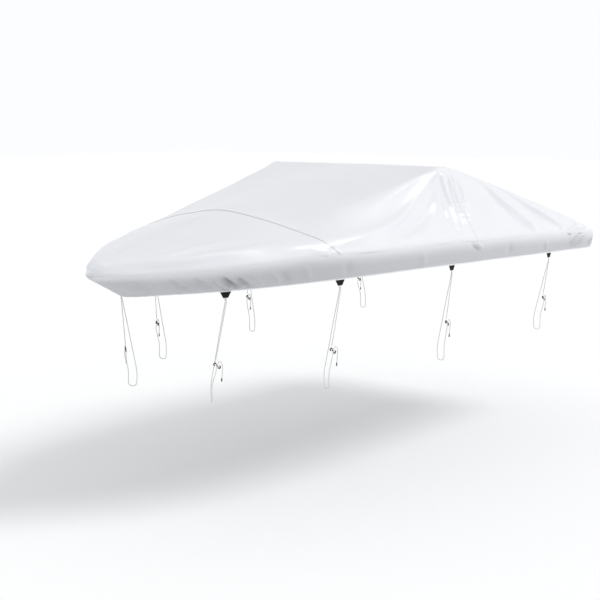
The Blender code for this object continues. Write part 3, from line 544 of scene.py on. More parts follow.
WRINKLES = tuple(Wrinkle(*row) for row in (
    (((-2.73, 0.26), (-2.69, 0.55), (-2.63, 0.90)), -0.012, 0.030),
    (((-2.66, 0.24), (-2.62, 0.55), (-2.56, 0.92)), 0.012, 0.026),
    (((-2.53, 0.22), (-2.50, 0.55), (-2.45, 0.92)), -0.018, 0.022),
    (((-2.47, 0.24), (-2.42, 0.55), (-2.34, 0.92)), 0.018, 0.020),
    (((-2.43, 0.22), (-2.37, 0.58), (-2.27, 0.92)), -0.018, 0.020),
    (((-2.36, 0.26), (-2.29, 0.60), (-2.20, 0.95)), 0.018, 0.020),
    (((-2.26, 0.26), (-2.19, 0.62), (-2.11, 0.96)), -0.030, 0.016),
    (((-2.20, 0.30), (-2.13, 0.66), (-2.06, 0.96)), 0.030, 0.016),
    (((-2.16, 0.34), (-2.09, 0.66), (-2.02, 0.96)), -0.015, 0.014),
    (((-2.12, 0.34), (-2.05, 0.70), (-1.99, 0.96)), 0.024, 0.016),
    (((-2.02, 0.30), (-1.97, 0.62), (-1.92, 0.92)), -0.015, 0.020),
    (((-1.91, 0.28), (-1.86, 0.62), (-1.82, 0.90)), -0.015, 0.018),
    (((-1.84, 0.28), (-1.80, 0.60), (-1.76, 0.88)), 0.015, 0.020),
    (((-1.70, 0.30), (-1.66, 0.60), (-1.63, 0.88)), -0.009, 0.020),
    (((-1.38, 0.20), (-1.36, 0.55), (-1.35, 0.90)), 0.009, 0.030),
    (((-0.60, 0.20), (-0.58, 0.55), (-0.56, 0.90)), -0.009, 0.034),
    (((0.03, 0.05), (0.09, 0.25), (0.18, 0.45)), 0.015, 0.014),
    (((0.10, 0.03), (0.15, 0.25), (0.22, 0.40)), -0.012, 0.014),
    (((0.62, 0.15), (0.64, 0.55), (0.66, 0.90)), 0.009, 0.034),
    (((1.25, 0.15), (1.28, 0.55), (1.31, 0.90)), -0.009, 0.030),
    (((1.68, 0.92), (1.79, 0.50), (1.90, 0.08)), 0.018, 0.016),
    (((1.76, 0.92), (1.87, 0.50), (1.97, 0.08)), -0.015, 0.014),
    (((1.84, 0.92), (1.95, 0.50), (2.06, 0.06)), 0.018, 0.014),
    (((2.10, 0.90), (2.17, 0.62), (2.24, 0.40)), 0.015, 0.014),
))
WRINKLE_RISE, WRINKLE_FADE = 0.45, 0.30
STERN_WRINKLES = 2.0            # x behind which the wrinkles are the same on both sides


def skirt_folds() -> list[Fold]:
    """Lay out the skirts' wrinkles.

    Returns:
        The wrinkles as folds, those to starboard a little aft and lower.
    """
    folds = []
    for wrinkle in WRINKLES:
        for side in Side:
            shift, share = (STARBOARD_SHIFT, STARBOARD_SHARE) if side is Side.STARBOARD else (0.0, 1.0)
            points = [(x + shift * (x < STERN_WRINKLES), down) for x, down in wrinkle.points]
            folds.append(Fold("wrinkle", down_side(*points, side=float(side.value)), wrinkle.height * share,
                              wrinkle.width, wrinkle.width, WRINKLE_RISE, WRINKLE_FADE))
    return folds


def all_folds() -> list[Fold]:
    """Every fold of the cover."""
    return panel_folds() + skirt_folds()


@dataclass(frozen=True)
class Billow:
    """Slight unevenness all over the cloth: a sum of slow waves in fixed random directions."""

    seed: int = 7
    count: int = 14
    shortest: float = 0.16
    longest: float = 0.75
    slope: float = 0.006

    def lift(self, points: np.ndarray) -> np.ndarray:
        """Add up the waves.

        Args:
            points: Rows of points.

        Returns:
            The lift at each.
        """
        dice = np.random.default_rng(self.seed)
        total = np.zeros(len(points))
        for _ in range(self.count):
            length = self.shortest * (self.longest / self.shortest) ** dice.random()
            direction = dice.normal(size=3)
            direction /= np.linalg.norm(direction)
            phase = dice.random() * 2 * math.pi
            height = self.slope * length / (2 * math.pi)
            total += height * np.sin(points @ direction * (2 * math.pi / length) + phase)
        return total


@dataclass
class Relief:
    """All the folds together with the billow, their lines worked out once."""

    folds: list[Fold] = field(default_factory=all_folds)
    billow: Billow = field(default_factory=Billow)
    lines: list[tuple[np.ndarray, np.ndarray]] = field(init=False)

    def __post_init__(self) -> None:
        """Find each fold's line on the smooth cover."""
        self.lines = [fold.line() for fold in self.folds]

    def lift(self, points: np.ndarray) -> np.ndarray:
        """How far the folds and the billow lift the cloth.

        Args:
            points: A table of points on the smooth cover.

        Returns:
            The lift of each along its normal.
        """
        flat = points.reshape(-1, 3)
        total = self.billow.lift(flat)
        for fold, (line, normals) in zip(self.folds, self.lines):
            total += fold.lift(flat, line, normals)
        return total.reshape(points.shape[:-1])


RELIEF = Relief()


# ------------------------------------------------------------------ meshes

def deselect() -> None:
    """Leave nothing selected and no mode but object mode."""
    if bpy.context.mode != "OBJECT":
        bpy.ops.object.mode_set(mode="OBJECT")
    bpy.ops.object.select_all(action="DESELECT")


def activate(piece: bpy.types.Object) -> None:
    """Select one object alone and make it active.

    Args:
        piece: The object.
    """
    deselect()
    piece.select_set(True)
    bpy.context.view_layer.objects.active = piece


def apply_modifier(piece: bpy.types.Object, kind: str, **settings: Any) -> None:
    """Add a modifier with its settings and apply it.

    Args:
        piece: The mesh that it changes.
        kind: Blender's name of the modifier's type.
        settings: Values of its properties.
    """
    activate(piece)
    made = piece.modifiers.new(kind.lower(), kind)
    for name, value in settings.items():
        setattr(made, name, value)
    bpy.ops.object.modifier_apply(modifier=made.name)


def smooth_by_angle(piece: bpy.types.Object, degrees: float = 40.0) -> None:
    """Shade a piece smooth, but for its edges sharper than an angle."""
    activate(piece)
    bpy.ops.object.shade_smooth_by_angle(angle=math.radians(degrees))


def merge_doubles(piece: bpy.types.Object, apart: float = 0.00005) -> None:
    """Merge the points that lie on each other.

    Args:
        piece: The mesh.
        apart: The distance within which they do.
    """
    activate(piece)
    bpy.ops.object.mode_set(mode="EDIT")
    bpy.ops.mesh.select_all(action="SELECT")
    bpy.ops.mesh.remove_doubles(threshold=apart)
    bpy.ops.object.mode_set(mode="OBJECT")


def shaped_grid(name: str, points: np.ndarray, maps: dict[str, np.ndarray]) -> bpy.types.Object:
    """A grid primitive shaped to a table of points.

    Args:
        name: The piece's name.
        points: Places by row and column. Rows turn towards columns as seen from outside.
        maps: UV maps by name, each with two values by row and column.

    Returns:
        The new object, at the origin.
    """
    rows, columns = points.shape[:2]
    deselect()
    bpy.ops.mesh.primitive_grid_add(x_subdivisions=rows - 1, y_subdivisions=columns - 1, size=1.0)
    piece = bpy.context.object
    piece.name = name
    mesh = piece.data
    mesh.name = name
    flat = np.zeros(len(mesh.vertices) * 3)
    mesh.vertices.foreach_get("co", flat)
    flat = flat.reshape(-1, 3)
    row = np.rint((flat[:, 0] + 0.5) * (rows - 1)).astype(int)
    column = np.rint((flat[:, 1] + 0.5) * (columns - 1)).astype(int)
    mesh.vertices.foreach_set("co", points[row, column].ravel())
    corner = np.zeros(len(mesh.loops), int)
    mesh.loops.foreach_get("vertex_index", corner)
    while mesh.uv_layers:
        mesh.uv_layers.remove(mesh.uv_layers[0])
    for label, values in maps.items():
        layer = mesh.uv_layers.new(name=label)
        layer.data.foreach_set("uv", values[row[corner], column[corner]].ravel())
    mesh.update()
    return piece


def arc_lengths(points: np.ndarray, axis: int) -> np.ndarray:
    """Distances run along the rows or columns of a table of points.

    Args:
        points: The table.
        axis: 0 to run from row to row, 1 from column to column.

    Returns:
        The distances, from 0.
    """
    step = np.linalg.norm(np.diff(points, axis=axis), axis=-1)
    start = np.zeros_like(np.take(step, [0], axis=axis))
    return np.concatenate([start, np.cumsum(step, axis=axis)], axis=axis)


def crowded(count: int, start: float, end: float, reach: float = 0.06) -> np.ndarray:
    """Shares from 0 to 1 that stand closer near the ends.

    Args:
        count: How many shares.
        start: How many times closer they stand at 0.
        end: How many times closer they stand at 1.
        reach: Share of the length over which that fades.

    Returns:
        The rising shares.
    """
    fine = np.linspace(0.0, 1.0, 2001)
    density = 1 + (start - 1) * np.exp(-fine / reach) + (end - 1) * np.exp(-(1 - fine) / reach)
    total = np.concatenate([[0.0], np.cumsum((density[1:] + density[:-1]) / 2)])
    return np.interp(np.linspace(0.0, total[-1], count), total, fine)


def smooth_route(points: Sequence[np.ndarray], spacing: float) -> np.ndarray:
    """Points along a smooth curve through a route's own points.

    Args:
        points: The route's points.
        spacing: Distance from point to point along the curve, about.

    Returns:
        The curve's points, which take in the route's.
    """
    rows = [np.asarray(p, float) for p in points]
    rows = [2 * rows[0] - rows[1]] + rows + [2 * rows[-1] - rows[-2]]
    route = []
    for before, start, end, after in zip(rows, rows[1:], rows[2:], rows[3:]):
        count = max(1, round(float(np.linalg.norm(end - start)) / spacing))
        for k in range(count):
            t = k / count
            route.append(0.5 * ((2 * start) + (end - before) * t
                                + (2 * before - 5 * start + 4 * end - after) * t ** 2
                                + (3 * start - before - 3 * end + after) * t ** 3))
    return np.array(route + [rows[-2]])


def tube(name: str, route: np.ndarray, radius: float, sides: int = 12,
         closed: bool = False) -> bpy.types.Object:
    """A round tube along a route.

    Args:
        name: The piece's name.
        route: Points of its centreline.
        radius: Its radius.
        sides: Faces around it.
        closed: Whether its end meets its start.

    Returns:
        A closed mesh whose UV map holds metres along it and turns around it.
    """
    ahead = np.gradient(route, axis=0)
    if closed:
        ahead[0] = ahead[-1] = route[1] - route[-2]
    ahead /= np.linalg.norm(ahead, axis=1, keepdims=True)
    side = np.cross(ahead[0], UP if abs(ahead[0][2]) < 0.9 else np.array([1.0, 0.0, 0.0]))
    sides_along = [side / np.linalg.norm(side)]
    for direction in ahead[1:]:
        side = sides_along[-1] - direction * (sides_along[-1] @ direction)
        sides_along.append(side / np.linalg.norm(side))
    across = np.array(sides_along)
    if closed:
        last = across[-1] - ahead[0] * (across[-1] @ ahead[0])
        turn = math.atan2(np.cross(across[0], last) @ ahead[0], across[0] @ last)
        angle = -turn * np.linspace(0.0, 1.0, len(route))[:, None]
        across = across * np.cos(angle) + np.cross(ahead, across) * np.sin(angle)
    other = np.cross(ahead, across)
    turns = np.linspace(0.0, 1.0, sides + 1)
    around = 2 * math.pi * turns[None, :, None]
    points = route[:, None] + radius * (across[:, None] * np.cos(around) + other[:, None] * np.sin(around))
    run = np.concatenate([[0.0], np.cumsum(np.linalg.norm(np.diff(route, axis=0), axis=1))])
    uv = np.stack(np.broadcast_arrays(run[:, None], turns[None, :]), axis=-1)
    piece = shaped_grid(name, points, {"UVMap": uv})
    merge_doubles(piece, radius * 0.01)
    bm = bmesh.new()
    bm.from_mesh(piece.data)
    if not closed:
        bmesh.ops.holes_fill(bm, edges=[e for e in bm.edges if e.is_boundary], sides=0)
    bm.normal_update()
    bmesh.ops.recalc_face_normals(bm, faces=bm.faces)
    bm.to_mesh(piece.data)
    bm.free()
    smooth_by_angle(piece, 60.0)
    return piece


# ------------------------------------------------------------------ finishes

@dataclass(frozen=True)
class Value:
    """An output of a shader node that takes part in Python's arithmetic."""

    shader: "Shader"
    socket: bpy.types.NodeSocket

    def __add__(self, other: Any) -> "Value":
        """The sum."""
        return self.shader.maths("ADD", self, other)

    __radd__ = __add__

    def __sub__(self, other: Any) -> "Value":
        """The difference."""
        return self.shader.maths("SUBTRACT", self, other)

    def __rsub__(self, other: Any) -> "Value":
        """The difference the other way."""
        return self.shader.maths("SUBTRACT", other, self)

    def __mul__(self, other: Any) -> "Value":
        """The product."""
        return self.shader.maths("MULTIPLY", self, other)

    __rmul__ = __mul__

    def __truediv__(self, other: Any) -> "Value":
        """The quotient."""
        return self.shader.maths("DIVIDE", self, other)

    def __rtruediv__(self, other: Any) -> "Value":
        """The quotient the other way."""
        return self.shader.maths("DIVIDE", other, self)


class Shader:
    """A material or world and the nodes that make its surface."""

    def __init__(self, name: str, world: bool = False) -> None:
        """Start a material with a Principled surface, or a world with its background.

        Args:
            name: The name of the material or world.
            world: Whether it is a world.
        """
        self.material = (bpy.data.worlds if world else bpy.data.materials).new(name)
        self.material.use_nodes = True
        self.tree = self.material.node_tree
        self.surface = self.tree.nodes["Background" if world else "Principled BSDF"]

    def add(self, kind: str, settings: dict[str, Any] | None = None, inputs: dict[Any, Any] | None = None,
            output: Any = 0) -> Value:
        """Add a node.

        Args:
            kind: Blender's type of the node.
            settings: Its properties.
            inputs: Numbers, colours or values for its sockets.
            output: Name or index of the output that is wanted.

        Returns:
            That output.
        """
        node = self.tree.nodes.new(kind)
        for name, value in (settings or {}).items():
            setattr(node, name, value)
        for name, value in (inputs or {}).items():
            self.feed(node.inputs[name], value)
        return Value(self, node.outputs[output])

    def feed(self, socket: bpy.types.NodeSocket, value: Any) -> None:
        """Link a value to a socket, or write a number or colour there.

        Args:
            socket: The input.
            value: A Value, a number or a colour.
        """
        if isinstance(value, Value):
            self.tree.links.new(value.socket, socket)
        else:
            socket.default_value = value

    def set(self, **inputs: Any) -> None:
        """Give the surface its values, by socket names with _ for a blank."""
        for name, value in inputs.items():
            self.feed(self.surface.inputs[name.replace("_", " ")], value)

    def maths(self, operation: str, *values: Any) -> Value:
        """A Math node on values or numbers."""
        return self.add("ShaderNodeMath", {"operation": operation}, dict(enumerate(values)))

    def clamp(self, value: Value) -> Value:
        """A value held between 0 and 1."""
        return self.add("ShaderNodeMath", {"operation": "ADD", "use_clamp": True}, {0: value, 1: 0.0})

    def step(self, value: Value, low: float, high: float) -> Value:
        """A soft step from 0 at low to 1 at high, or down where high is less."""
        return self.add("ShaderNodeMapRange", {"interpolation_type": "SMOOTHSTEP"},
                        {"Value": value, "From Min": low, "From Max": high})

    def uv(self, name: str) -> tuple[Value, Value]:
        """Read a UV map.

        Args:
            name: The map's name.

        Returns:
            Its two coordinates.
        """
        node = self.add("ShaderNodeUVMap", {"uv_map": name})
        split = self.add("ShaderNodeSeparateXYZ", inputs={"Vector": node})
        return split, Value(self, split.socket.node.outputs[1])

    def place(self) -> Value:
        """Object coordinates."""
        return self.add("ShaderNodeTexCoord", output="Object")

    def noise(self, scale: float, detail: float = 3.0, roughness: float = 0.5) -> Value:
        """Noise over the object, from 0 to 1, with scale features to a metre."""
        return self.add("ShaderNodeTexNoise", inputs={
            "Vector": self.place(), "Scale": scale, "Detail": detail, "Roughness": roughness})

    def wave(self, value: Value, period: float) -> Value:
        """A sine from -1 to 1 with a period."""
        return self.maths("SINE", value * (2 * math.pi / period))

    def blend(self, share: Value, low: Sequence[float], high: Any) -> Value:
        """A colour between two.

        Args:
            share: How much of the second.
            low: The colour at 0.
            high: The colour at 1.

        Returns:
            The mixed colour.
        """
        def colour(value: Any) -> Any:
            """A colour with its alpha, or a value as it is."""
            return value if isinstance(value, Value) else (*value, 1.0)
        node = self.add("ShaderNodeMix", {"data_type": "RGBA"}, {0: share}, output=2).socket.node
        self.feed(node.inputs[6], colour(low))
        self.feed(node.inputs[7], colour(high))
        return Value(self, node.outputs[2])

    def relief(self, height: Value, depth: float, strength: float = 1.0) -> Value:
        """Normals of a bump whose full height is depth, in metres."""
        return self.add("ShaderNodeBump",
                        inputs={"Height": height, "Distance": depth, "Strength": strength})


@dataclass(frozen=True)
class Finish:
    """A kind of surface that pieces are made of."""

    name: str

    def paint(self, shader: Shader) -> None:
        """Set the surface of the finish's material."""
        raise NotImplementedError

    def material(self) -> bpy.types.Material:
        """Build the material.

        Returns:
            The material, ready for pieces.
        """
        shader = Shader(self.name)
        self.paint(shader)
        return shader.material


@dataclass(frozen=True)
class CoatedCloth(Finish):
    """Silver-white coated polyester: a fine weave under a satin coat, with sewn edges, and with painted
    shade, a painted shadow and a painted highlight in its colour.
    """

    colour: tuple[float, float, float] = (0.825, 0.837, 0.866)
    shade: tuple[float, float, float] = (0.803, 0.815, 0.846)
    low_colour: tuple[float, float, float] = (0.495, 0.503, 0.521)      # painted shade: the cloth greyer down the skirts and at the panels' gunwale edges
    low_from: float = 0.05          # distance over the gunwale line at which that starts
    low_to: float = -0.10
    thread: tuple[float, float, float] = (0.66, 0.68, 0.72)
    roughness: float = 0.42
    weave: float = 0.0014           # metres from thread to thread
    stitch: float = 0.0045          # length of a stitch and its gap
    rows: tuple[float, ...] = (0.006, 0.013)    # distances of the rows of stitches from the edge
    trim: float = 0.0               # width of the painted highlight along a hem's outer edge
    line: float = 0.0               # width of the painted shadow that a lapped seam's edge casts
    line_at: float = 0.0            # and its distance from the edge
    relief: float = 0.00012         # depth of the weave and the stitches

    def paint(self, shader: Shader) -> None:
        """Set the surface.

        Args:
            shader: The nodes of the material.
        """
        u, v = shader.uv("UVMap")
        along, inwards = shader.uv("edge")
        threads = shader.wave(u, self.weave) * shader.wave(v, self.weave)
        patches = shader.noise(2.2, 4.0, 0.55)
        grain = shader.noise(420.0, 2.0)
        colour = shader.blend(shader.step(patches, 0.30, 0.70), self.shade, self.colour)
        # Painted shade: the cloth darkens towards the gunwale line and down the skirts.
        _, rim = shader.uv("rim")
        colour = shader.blend(shader.step(rim, self.low_to, self.low_from), self.low_colour, colour)
        dashes = shader.step(shader.wave(along, self.stitch), -0.45, -0.10)
        sewn: Any = 0.0
        for row in self.rows:
            aside = shader.maths("ABSOLUTE", inwards - row)
            sewn = sewn + shader.step(aside, 0.0011, 0.0005)
        stitches = shader.clamp(sewn * dashes)
        colour = shader.blend(stitches * 0.75, colour, self.thread)
        # Painted shadow: a dark line where the lapping cloth's edge lies over this one.
        if self.line > 0.0:
            beside = shader.maths("ABSOLUTE", inwards - self.line_at)
            colour = shader.blend(shader.step(beside, self.line, self.line * 0.35) * 0.45, colour,
                                  tuple(0.45 * c for c in self.shade))
        # Painted highlight: the hem's outer edge goes back to the bright colour, where it catches the light.
        if self.trim > 0.0:
            outer = shader.step(inwards, self.trim * 1.4, self.trim * 0.7)
            colour = shader.blend(outer * 0.8, colour, self.colour)
        height = threads * 0.5 + grain * 0.6 + stitches * 1.6 - shader.clamp(sewn) * 0.8
        shader.set(Base_Color=colour, Roughness=self.roughness + (patches - 0.5) * 0.12,
                   Normal=shader.relief(height, self.relief, 0.55), Coat_Weight=0.60,
                   Coat_Roughness=0.22, Specular_IOR_Level=0.45)


@dataclass(frozen=True)
class ClothInside(Finish):
    """The uncoated inner face of the cloth: dull and plainly woven."""

    name: str = "cloth_inside"
    colour: tuple[float, float, float] = (0.56, 0.575, 0.60)
    weave: float = 0.0014

    def paint(self, shader: Shader) -> None:
        """Set the surface.

        Args:
            shader: The nodes of the material.
        """
        u, v = shader.uv("UVMap")
        threads = shader.wave(u, self.weave) * shader.wave(v, self.weave)
        patches = shader.noise(3.0)
        colour = shader.blend(patches, tuple(0.9 * c for c in self.colour), self.colour)
        shader.set(Base_Color=colour, Roughness=0.75 + threads * 0.03,
                   Normal=shader.relief(threads, 0.0002, 0.6))


@dataclass(frozen=True)
class Braid(Finish):
    """White braided rope, a little fluffy."""

    name: str = "white_braid"
    colour: tuple[float, float, float] = (0.82, 0.82, 0.80)
    # painted shade in the grooves between the strands
    groove: tuple[float, float, float] = (0.50, 0.50, 0.49)
    pitch: float = 0.0085           # metres from crossing to crossing
    strands: int = 4

    def paint(self, shader: Shader) -> None:
        """Set the surface.

        Args:
            shader: The nodes of the material.
        """
        along, around = shader.uv("UVMap")
        turn = around * (2 * math.pi * self.strands)
        run = along * (2 * math.pi / self.pitch)
        left = shader.maths("ABSOLUTE", shader.maths("SINE", (turn + run) * 0.5))
        right = shader.maths("ABSOLUTE", shader.maths("SINE", (turn - run) * 0.5))
        height = shader.maths("MAXIMUM", left, right)
        fluff = shader.noise(900.0, 2.0)
        # Painted shade: the braid is darker in its grooves.
        colour = shader.blend(shader.step(height, 0.55, 0.95), self.groove, self.colour)
        shader.set(Base_Color=colour, Roughness=0.78 + fluff * 0.1,
                   Normal=shader.relief(height + fluff * 0.25, 0.0007, 0.9), Sheen_Weight=0.15)


@dataclass(frozen=True)
class Webbing(Finish):
    """Black woven tape with ribs across it."""

    name: str = "black_tape"
    colour: tuple[float, float, float] = (0.005, 0.005, 0.006)
    worn: tuple[float, float, float] = (0.014, 0.014, 0.015)
    rib: float = 0.0017             # metres from rib to rib

    def paint(self, shader: Shader) -> None:
        """Set the surface.

        Args:
            shader: The nodes of the material.
        """
        u, v = shader.uv("UVMap")
        ribs = shader.wave(v, self.rib) * 0.6 + shader.wave(u, self.rib * 0.7) * 0.4
        fuzz = shader.noise(700.0, 3.0)
        colour = shader.blend(shader.step(ribs + fuzz * 0.6, 0.2, 1.1), self.colour, self.worn)
        shader.set(Base_Color=colour, Roughness=0.62 + fuzz * 0.2,
                   Normal=shader.relief(ribs + fuzz * 0.3, 0.0004, 0.9), Specular_IOR_Level=0.25)


@dataclass(frozen=True)
class Moulded(Finish):
    """Moulded black plastic with a fine spark-eroded grain."""

    name: str = "moulded_plastic"
    colour: tuple[float, float, float] = (0.018, 0.018, 0.020)
    scuffed: tuple[float, float, float] = (0.055, 0.055, 0.058)

    def paint(self, shader: Shader) -> None:
        """Set the surface.

        Args:
            shader: The nodes of the material.
        """
        grain = shader.noise(1600.0, 2.0)
        scuffs = shader.noise(180.0, 4.0, 0.65)
        colour = shader.blend(shader.step(scuffs, 0.56, 0.74), self.colour, self.scuffed)
        shader.set(Base_Color=colour, Roughness=0.36 + scuffs * 0.16,
                   Normal=shader.relief(grain, 0.0001, 0.5))


# ------------------------------------------------------------------ the cloths

@dataclass(frozen=True)
class Seam:
    """A cross seam: its place on the keel line, and its sweep aft towards the gunwale."""

    keel_x: float
    sweep: float
    power: float

    def along(self, share: np.ndarray) -> np.ndarray:
        """Where the seam crosses each line along the cover."""
        return FORM.along_at(self.keel_x + self.sweep * np.abs(share) ** self.power)


FRONT_SEAM = Seam(-1.572, 0.150, 2.2)
REAR_SEAM = Seam(0.070, 0.055, 2.0)
FLAT_PUCKER = 0.2           # share of the puckers' height left over the middle of the boat
PUCKER_FROM, PUCKER_RUN = 0.42, 0.20    # share across at which the rest starts to rise, and its run
EDGE_REACH = 0.45           # share of half a panel over which its columns crowd to the gunwale
FAR = 9.0                   # stands for the distance to an edge that isn't sewn


@dataclass(frozen=True)
class Pucker:
    """Short wrinkles square to a sewn edge."""

    height: float
    period: float
    reach: float            # how far they run into the cloth

    def lift(self, along: np.ndarray, inwards: np.ndarray) -> np.ndarray:
        """How far the puckers lift the cloth.

        Args:
            along: Distances along the edge.
            inwards: Distances from it into the cloth.

        Returns:
            The lift.
        """
        turn = 2 * math.pi * along / self.period
        uneven = 0.55 + 0.45 * np.sin(turn * 0.31 + 1.3)
        wave = np.sin(turn + 0.9 * np.sin(turn * 0.23)) + 0.4 * np.sin(turn * 1.7 + 2.0)
        return self.height * uneven * wave * np.exp(-(inwards / self.reach) ** 1.5)


@dataclass
class Panel:
    """One of the three cloths over the boat, cut between two lines across it."""

    node: str
    flat: tuple[float, float]
    area: float
    rows: int
    columns: int
    front: Seam | None
    rear: Seam | None
    front_pucker: Pucker
    rear_pucker: Pucker
    front_lap: bool = False         # its front edge lies on the next cloth
    rear_lap: bool = False
    lap: float = 0.010              # how far a lapped edge reaches past the seam
    lap_rise: float = SKIN + 0.0005
    lap_run: float = 0.016          # from a lapped edge to where the cloth lies down again
    under: float = 0.004            # how far the cloth below reaches past the seam

    def edge(self, seam: Seam | None, end: float, lapped: bool, sign: int, share: np.ndarray) -> np.ndarray:
        """Where one end of the panel lies.

        Args:
            seam: The seam there, or None at the bow or the stern.
            end: The distance along the cover where there is no seam.
            lapped: Whether the panel's edge lies on the next cloth.
            sign: -1 at the front end, 1 at the rear.
            share: The lines along the cover, as shares of the way out to the gunwale.

        Returns:
            The distance along the cover on each line.
        """
        if seam is None:
            return end + 0.0 * share
        return seam.along(share) + sign * (self.lap if lapped else self.under)

    def grid(self) -> tuple[np.ndarray, dict[str, np.ndarray]]:
        """Lay out the panel's outer face.

        Returns:
            Its points, and its three UV maps by name.
        """
        fine_edges = crowded(self.columns // 2 + 1, 1.0, 3.0, EDGE_REACH)
        across = np.concatenate([-fine_edges[:0:-1], fine_edges])[None, :]
        share = np.abs(across)
        t = crowded(self.rows, 3.0 if self.front else 4.0, 3.0 if self.rear else 5.0)[:, None]
        start = self.edge(self.front, 0.0, self.front_lap, -1, share)
        end = self.edge(self.rear, FORM.stern, self.rear_lap, 1, share)
        start_mid, end_mid = start[:, share.argmin()], end[:, share.argmin()]
        along = (start_mid + (end_mid - start_mid) * t
                 + (start - start_mid) * (1 - t) ** 2 + (end - end_mid) * t ** 2)
        base = FORM.point(along, across, 0.0)
        normal = FORM.normal(along, across, 0.0, Strip.TOP)
        fore, aft = arc_lengths(base, 0), arc_lengths(base[::-1], 0)[::-1]
        width = arc_lengths(base, 1)
        width = width - width[:, [base.shape[1] // 2]]
        lift = RELIEF.lift(base)
        puckers = self.front_pucker.lift(width, fore) + self.rear_pucker.lift(width, aft)
        lift = lift + puckers * (FLAT_PUCKER + (1 - FLAT_PUCKER) * ramp((share - PUCKER_FROM) / PUCKER_RUN))
        for lapped, inwards in ((self.front_lap, fore), (self.rear_lap, aft)):
            if lapped:
                lift = lift + self.lap_rise * (1 - ramp((inwards - self.lap_run) / self.lap_run))
        points = base + normal * lift[..., None]
        edge = np.minimum(fore if self.front else FAR, aft if self.rear else FAR)
        rim = np.minimum(width[:, -1:] - width, width - width[:, :1])
        if self.rear is None:
            rim = np.minimum(rim, aft)
        return points, {"UVMap": np.stack([width, fore], axis=-1), "edge": np.stack([width, edge], axis=-1),
                        "rim": np.stack([width, rim], axis=-1)}

    def build(self, finish: bpy.types.Material, inside: bpy.types.Material) -> bpy.types.Object:
        """Make the cloth.

        Args:
            finish: Material of its outer face and edges.
            inside: Material of its inner face.

        Returns:
            The finished piece, riding on the body.
        """
        piece = shaped_grid(self.node + "_cloth", *self.grid())
        merge_doubles(piece)
        return finish_sheet(piece, self.node, finish,
                            inside)


def finish_sheet(piece: bpy.types.Object, node: str,
                 finish: bpy.types.Material,
                 inside: bpy.types.Material) -> bpy.types.Object:
    """Args:
        piece: The cloth's outer face.
        node: The frame's node that it stands for.
        finish: Material of the outer face.
        inside: Material of the inner face.

    Returns:
        The piece.
    """
    piece.data.materials.append(finish)
    piece.data.materials.append(inside)
    apply_modifier(piece, "SOLIDIFY", thickness=SKIN, offset=-1.0, material_offset=1)
    smooth_by_angle(piece)
    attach(piece, BODY)
    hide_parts(node)
    log.info("%s: %d faces", piece.name, len(piece.data.polygons))
    return piece


TUCK_SHARE = 0.032          # share across the panel that the skirts' margin reaches up
TUCK_RISES = (1.0, 0.6, 0.25)       # shares of that at which the margin has its points


